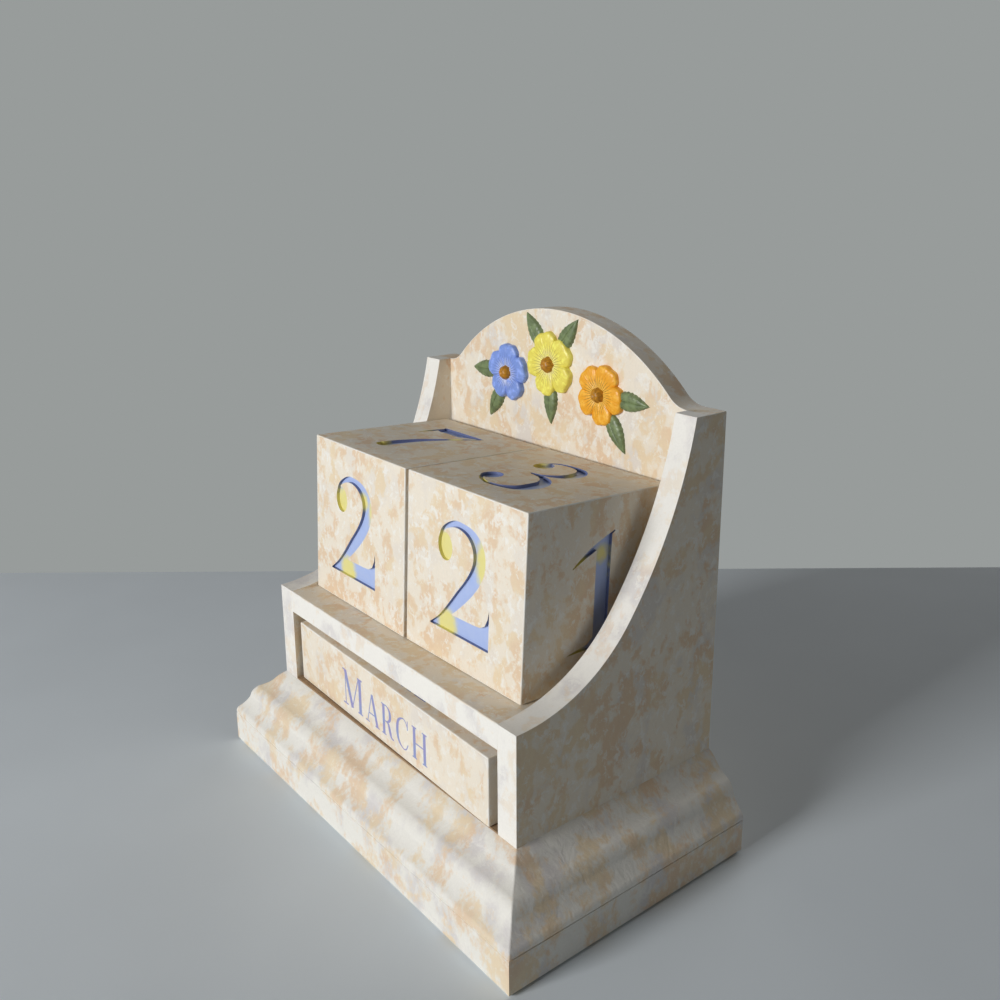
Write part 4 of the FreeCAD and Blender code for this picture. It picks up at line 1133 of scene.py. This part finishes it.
class CALENDAR_OT_fasteners(bpy.types.Operator):
    """Four countersunk screws with a cross recess under the slab, and the finish of the panel pins"""

    bl_idname = "calendar.fasteners"
    bl_label = "Fasteners"

    def execute(self, context):
        """A turned profile from the head's rim to the tip, closed by a flat disc with the recess sunk in it."""
        head, shank = sizes().screw_head, sizes().screw_shank
        low, high = BOX["slab_screws"]
        length = high[Z] - low[Z]
        angle = on_circle(ROUND_STEPS)
        arm, half = 0.6 * head, 0.13 * head
        cross = np.array([(half, -arm), (half, -half), (arm, -half), (arm, half), (half, half), (half, arm)])
        cross = turned(np.vstack([cross, -cross]), 1)
        disc = np.stack([head * np.cos(angle), head * np.sin(angle)], -1)
        points, flat, _ = inlaid_face(disc, [cross], 0.35 * head)
        profile = np.array([(head, 0), (shank, 0.57 * head), (shank, 0.8 * length)])[:, :, None] + 0 * angle
        rings = np.stack([profile[:, 0] * np.cos(angle), profile[:, 0] * np.sin(angle), profile[:, 1]], -1)
        body = np.vstack([rings.reshape(-1, 3), [[0, 0, length]]])
        screw, faces = joined([(body, tube_faces(3, ROUND_STEPS)), (points * (1, -1, -1), flat)])
        places = [(x, y, low[Z]) for x in (low[X] + head, high[X] - head) for y in (low[Y] + head, high[Y] - head)]
        piece = new_piece("slab_screw_set", *joined([(screw + place, faces) for place in places]))
        finish(piece, "stand", "zinc_steel", ["slab_screws"], "zinc_plated_steel")
        dress(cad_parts["pin_nails"], "bright_steel")
        return {"FINISHED"}


PETALS = 5
PETAL_GROOVES = 26
PETAL_TURNS = {"blue": 14.0, "yellow": 36.0, "amber": -8.0}


class CALENDAR_OT_flowers(bpy.types.Operator):
    """Three five-petalled flowers in low relief"""

    bl_idname = "calendar.flowers"
    bl_label = "Flowers"

    def execute(self, context):
        for hue, turn in PETAL_TURNS.items():
            low, high = BOX["flower_" + hue]
            place = ((low + high) / 2, (high[X] - low[X]) / 2, high[Y] - low[Y])
            self.flower(hue, math.radians(turn), *place)
            self.eye(hue, *place)
        return {"FINISHED"}

    def flower(self, hue, turn, middle, radius, height):
        """Each petal is a cushion over a rounded heart: out and across are an ellipse, wider outwards and notched
        at its tip, shrunk towards its middle by the sine of phi to the power 0.7, and its height is the cosine of
        phi to the power 0.35. It stands higher on one side, and shallow grooves fan out from the flower's
        middle."""
        rows, columns = 14, 64
        phi = np.linspace(0, math.pi / 2, rows)[:, None]
        theta = on_circle(columns)[None, :]
        reach, half_length, half_width = 0.555 * radius, 0.44 * radius, 0.43 * radius
        tip = np.exp(-((((theta + math.pi) % (2 * math.pi)) - math.pi) / 0.3) ** 2)
        rim = 1 - 0.09 * tip + 0.02 * np.sin(9 * theta)
        shrink = np.sin(phi) ** 0.7
        out = reach + half_length * shrink * rim * np.cos(theta)
        aside = half_width * shrink * rim * np.sin(theta) * (1 + 0.22 * np.cos(theta))
        fan = np.arctan2(aside, out)
        lift = 0.68 * height * np.cos(phi) ** 0.35 * (0.86 + 0.16 * np.sin(theta) * shrink)
        grooves = 0.1 * MM * np.cos(fan * PETAL_GROOVES) ** 6 * np.cos(phi) ** 0.5
        lift = np.maximum(lift * (0.82 + 0.18 * np.clip(out / radius, 0, 1)) - grooves, 0)
        span = np.hypot(out, aside) / radius
        uvs = np.vstack([np.stack([span, 0.5 + fan / (2 * math.pi)], -1).reshape(-1, 2), [[0.5, 0.5]]])
        parts = []
        for angle in turn + on_circle(PETALS):
            petal = [on_panel(middle, out, aside, angle, lift), on_panel(middle, reach, 0, angle, 0)]
            parts.append((np.vstack(petal), tube_faces(rows, columns)))
        piece = new_piece(f"flower_{hue}_petals", *joined(parts), np.tile(uvs, (PETALS, 1)))
        finish(piece, "stand", hue + "_relief", ["flower_" + hue], "painted_resin_" + hue)

    def eye(self, hue, middle, radius, height):
        """A button: its radius is the sine of phi, drawn in eight times, and its height is the cosine of phi to
        the power 0.7, less a bell that dimples the middle."""
        rows, columns = 12, ROUND_STEPS
        phi = np.linspace(0, math.pi / 2, rows)[:, None]
        theta = on_circle(columns)[None, :]
        wide = 0.25 * radius * np.sin(phi) * (1 + 0.06 * np.cos(8 * theta))
        lift = height * (np.cos(phi) ** 0.7 - 0.14 * np.exp(-((phi / 0.25) ** 2))) * (1 + 0 * theta)
        dome = on_panel(middle, wide * np.cos(theta), wide * np.sin(theta), 0.0, lift)
        verts = np.vstack([dome, on_panel(middle, 0, 0, 0, 0)])
        piece = new_piece(f"flower_{hue}_eye", verts, tube_faces(rows, columns))
        finish(piece, "stand", hue + "_relief", [], "painted_resin_eye")


LEAF_TURNS = {"blue": (182, 238), "yellow": (128, 52, 270), "amber": (-2, -58)}
LEAF_TEETH = 9
LEAF_VEINS = 7


class CALENDAR_OT_leaves(bpy.types.Operator):
    """Seven pointed leaves with a sunk midrib and side veins"""

    bl_idname = "calendar.leaves"
    bl_label = "Leaves"

    def execute(self, context):
        """Along a leaf t runs from stalk to tip, and its half width is the sine of pi times t to the power 0.8,
        with fine teeth. Across it s runs from -1 to 1: the height is a low round back, one minus s squared to the
        power 0.4, with a groove at the midrib and slanting ones for the veins."""
        rows, columns = 41, 33
        height = BOX["leaves"][1][Y] - BOX["leaves"][0][Y]
        t = np.linspace(0, 1, rows)[:, None]
        s = np.linspace(-1, 1, columns)[None, :]
        swell = np.sin(math.pi * np.clip(t, 0, 1) ** 0.8)
        teeth = 1 - 0.05 * (1 + np.cos(2 * math.pi * LEAF_TEETH * t)) * np.sin(math.pi * t)
        aside = sizes().leaf_width / 2 * swell * teeth * s
        out = sizes().leaf_reach + (t - 0.5) * sizes().leaf_length + 0 * s
        back = (1 - s**2) ** 0.4 * swell**0.5 * (0.8 + 0.2 * np.abs(s))
        rib = np.exp(-((s / 0.09) ** 2))
        veins = np.cos(2 * math.pi * (LEAF_VEINS * t - 1.6 * np.abs(s))) ** 8 * np.clip(np.abs(s) * 5, 0, 1)
        lift = np.maximum(height * back - 0.3 * MM * rib * swell - 0.12 * MM * veins * swell * (1 - s**4), 0)
        quads = grid_faces(rows, columns)
        parts = []
        for hue, turns in LEAF_TURNS.items():
            middle = (BOX["flower_" + hue][0] + BOX["flower_" + hue][1]) / 2
            for turn in np.radians(turns):
                parts.append((on_panel(middle, out, aside, turn, lift), quads.tolist()))
                parts.append((on_panel(middle, out, aside, turn, 0 * lift), quads[:, ::-1].tolist()))
        piece = new_piece("leaf_relief", *joined(parts))
        finish(piece, "stand", "leaf_relief", ["leaves"], "painted_resin_leaf")
        return {"FINISHED"}


OPERATORS = (
    CALENDAR_OT_stage,
    CALENDAR_OT_side_panels,
    CALENDAR_OT_back_panel,
    CALENDAR_OT_shelf,
    CALENDAR_OT_plinth,
    CALENDAR_OT_date_cubes,
    CALENDAR_OT_month_bars,
    CALENDAR_OT_fasteners,
    CALENDAR_OT_flowers,
    CALENDAR_OT_leaves,
)


class CALENDAR_PT_panel(bpy.types.Panel):
    """Lists the sizes, the colours and the pieces"""

    bl_idname = "CALENDAR_PT_panel"
    bl_label = "Block calendar"
    bl_space_type = "VIEW_3D"
    bl_region_type = "UI"
    bl_category = "Calendar"

    def draw(self, context):
        for group in (sizes(), colours()):
            box = self.layout.box()
            for name in group.__annotations__:
                box.prop(group, name)
        for operator in OPERATORS:
            self.layout.operator(operator.bl_idname)


CLASSES = (CalendarSizes, CalendarColours, *OPERATORS, CALENDAR_PT_panel)


def register():
    for cls in CLASSES:
        bpy.utils.register_class(cls)
    bpy.types.Scene.calendar_sizes = PointerProperty(type=CalendarSizes)
    bpy.types.Scene.calendar_colours = PointerProperty(type=CalendarColours)


def unregister():
    del bpy.types.Scene.calendar_sizes
    del bpy.types.Scene.calendar_colours
    for cls in reversed(CLASSES):
        bpy.utils.unregister_class(cls)


def main():
    register()
    for operator in OPERATORS:
        group, name = operator.bl_idname.split(".")
        getattr(getattr(bpy.ops, group), name)()


if __name__ == "__main__":
    main()
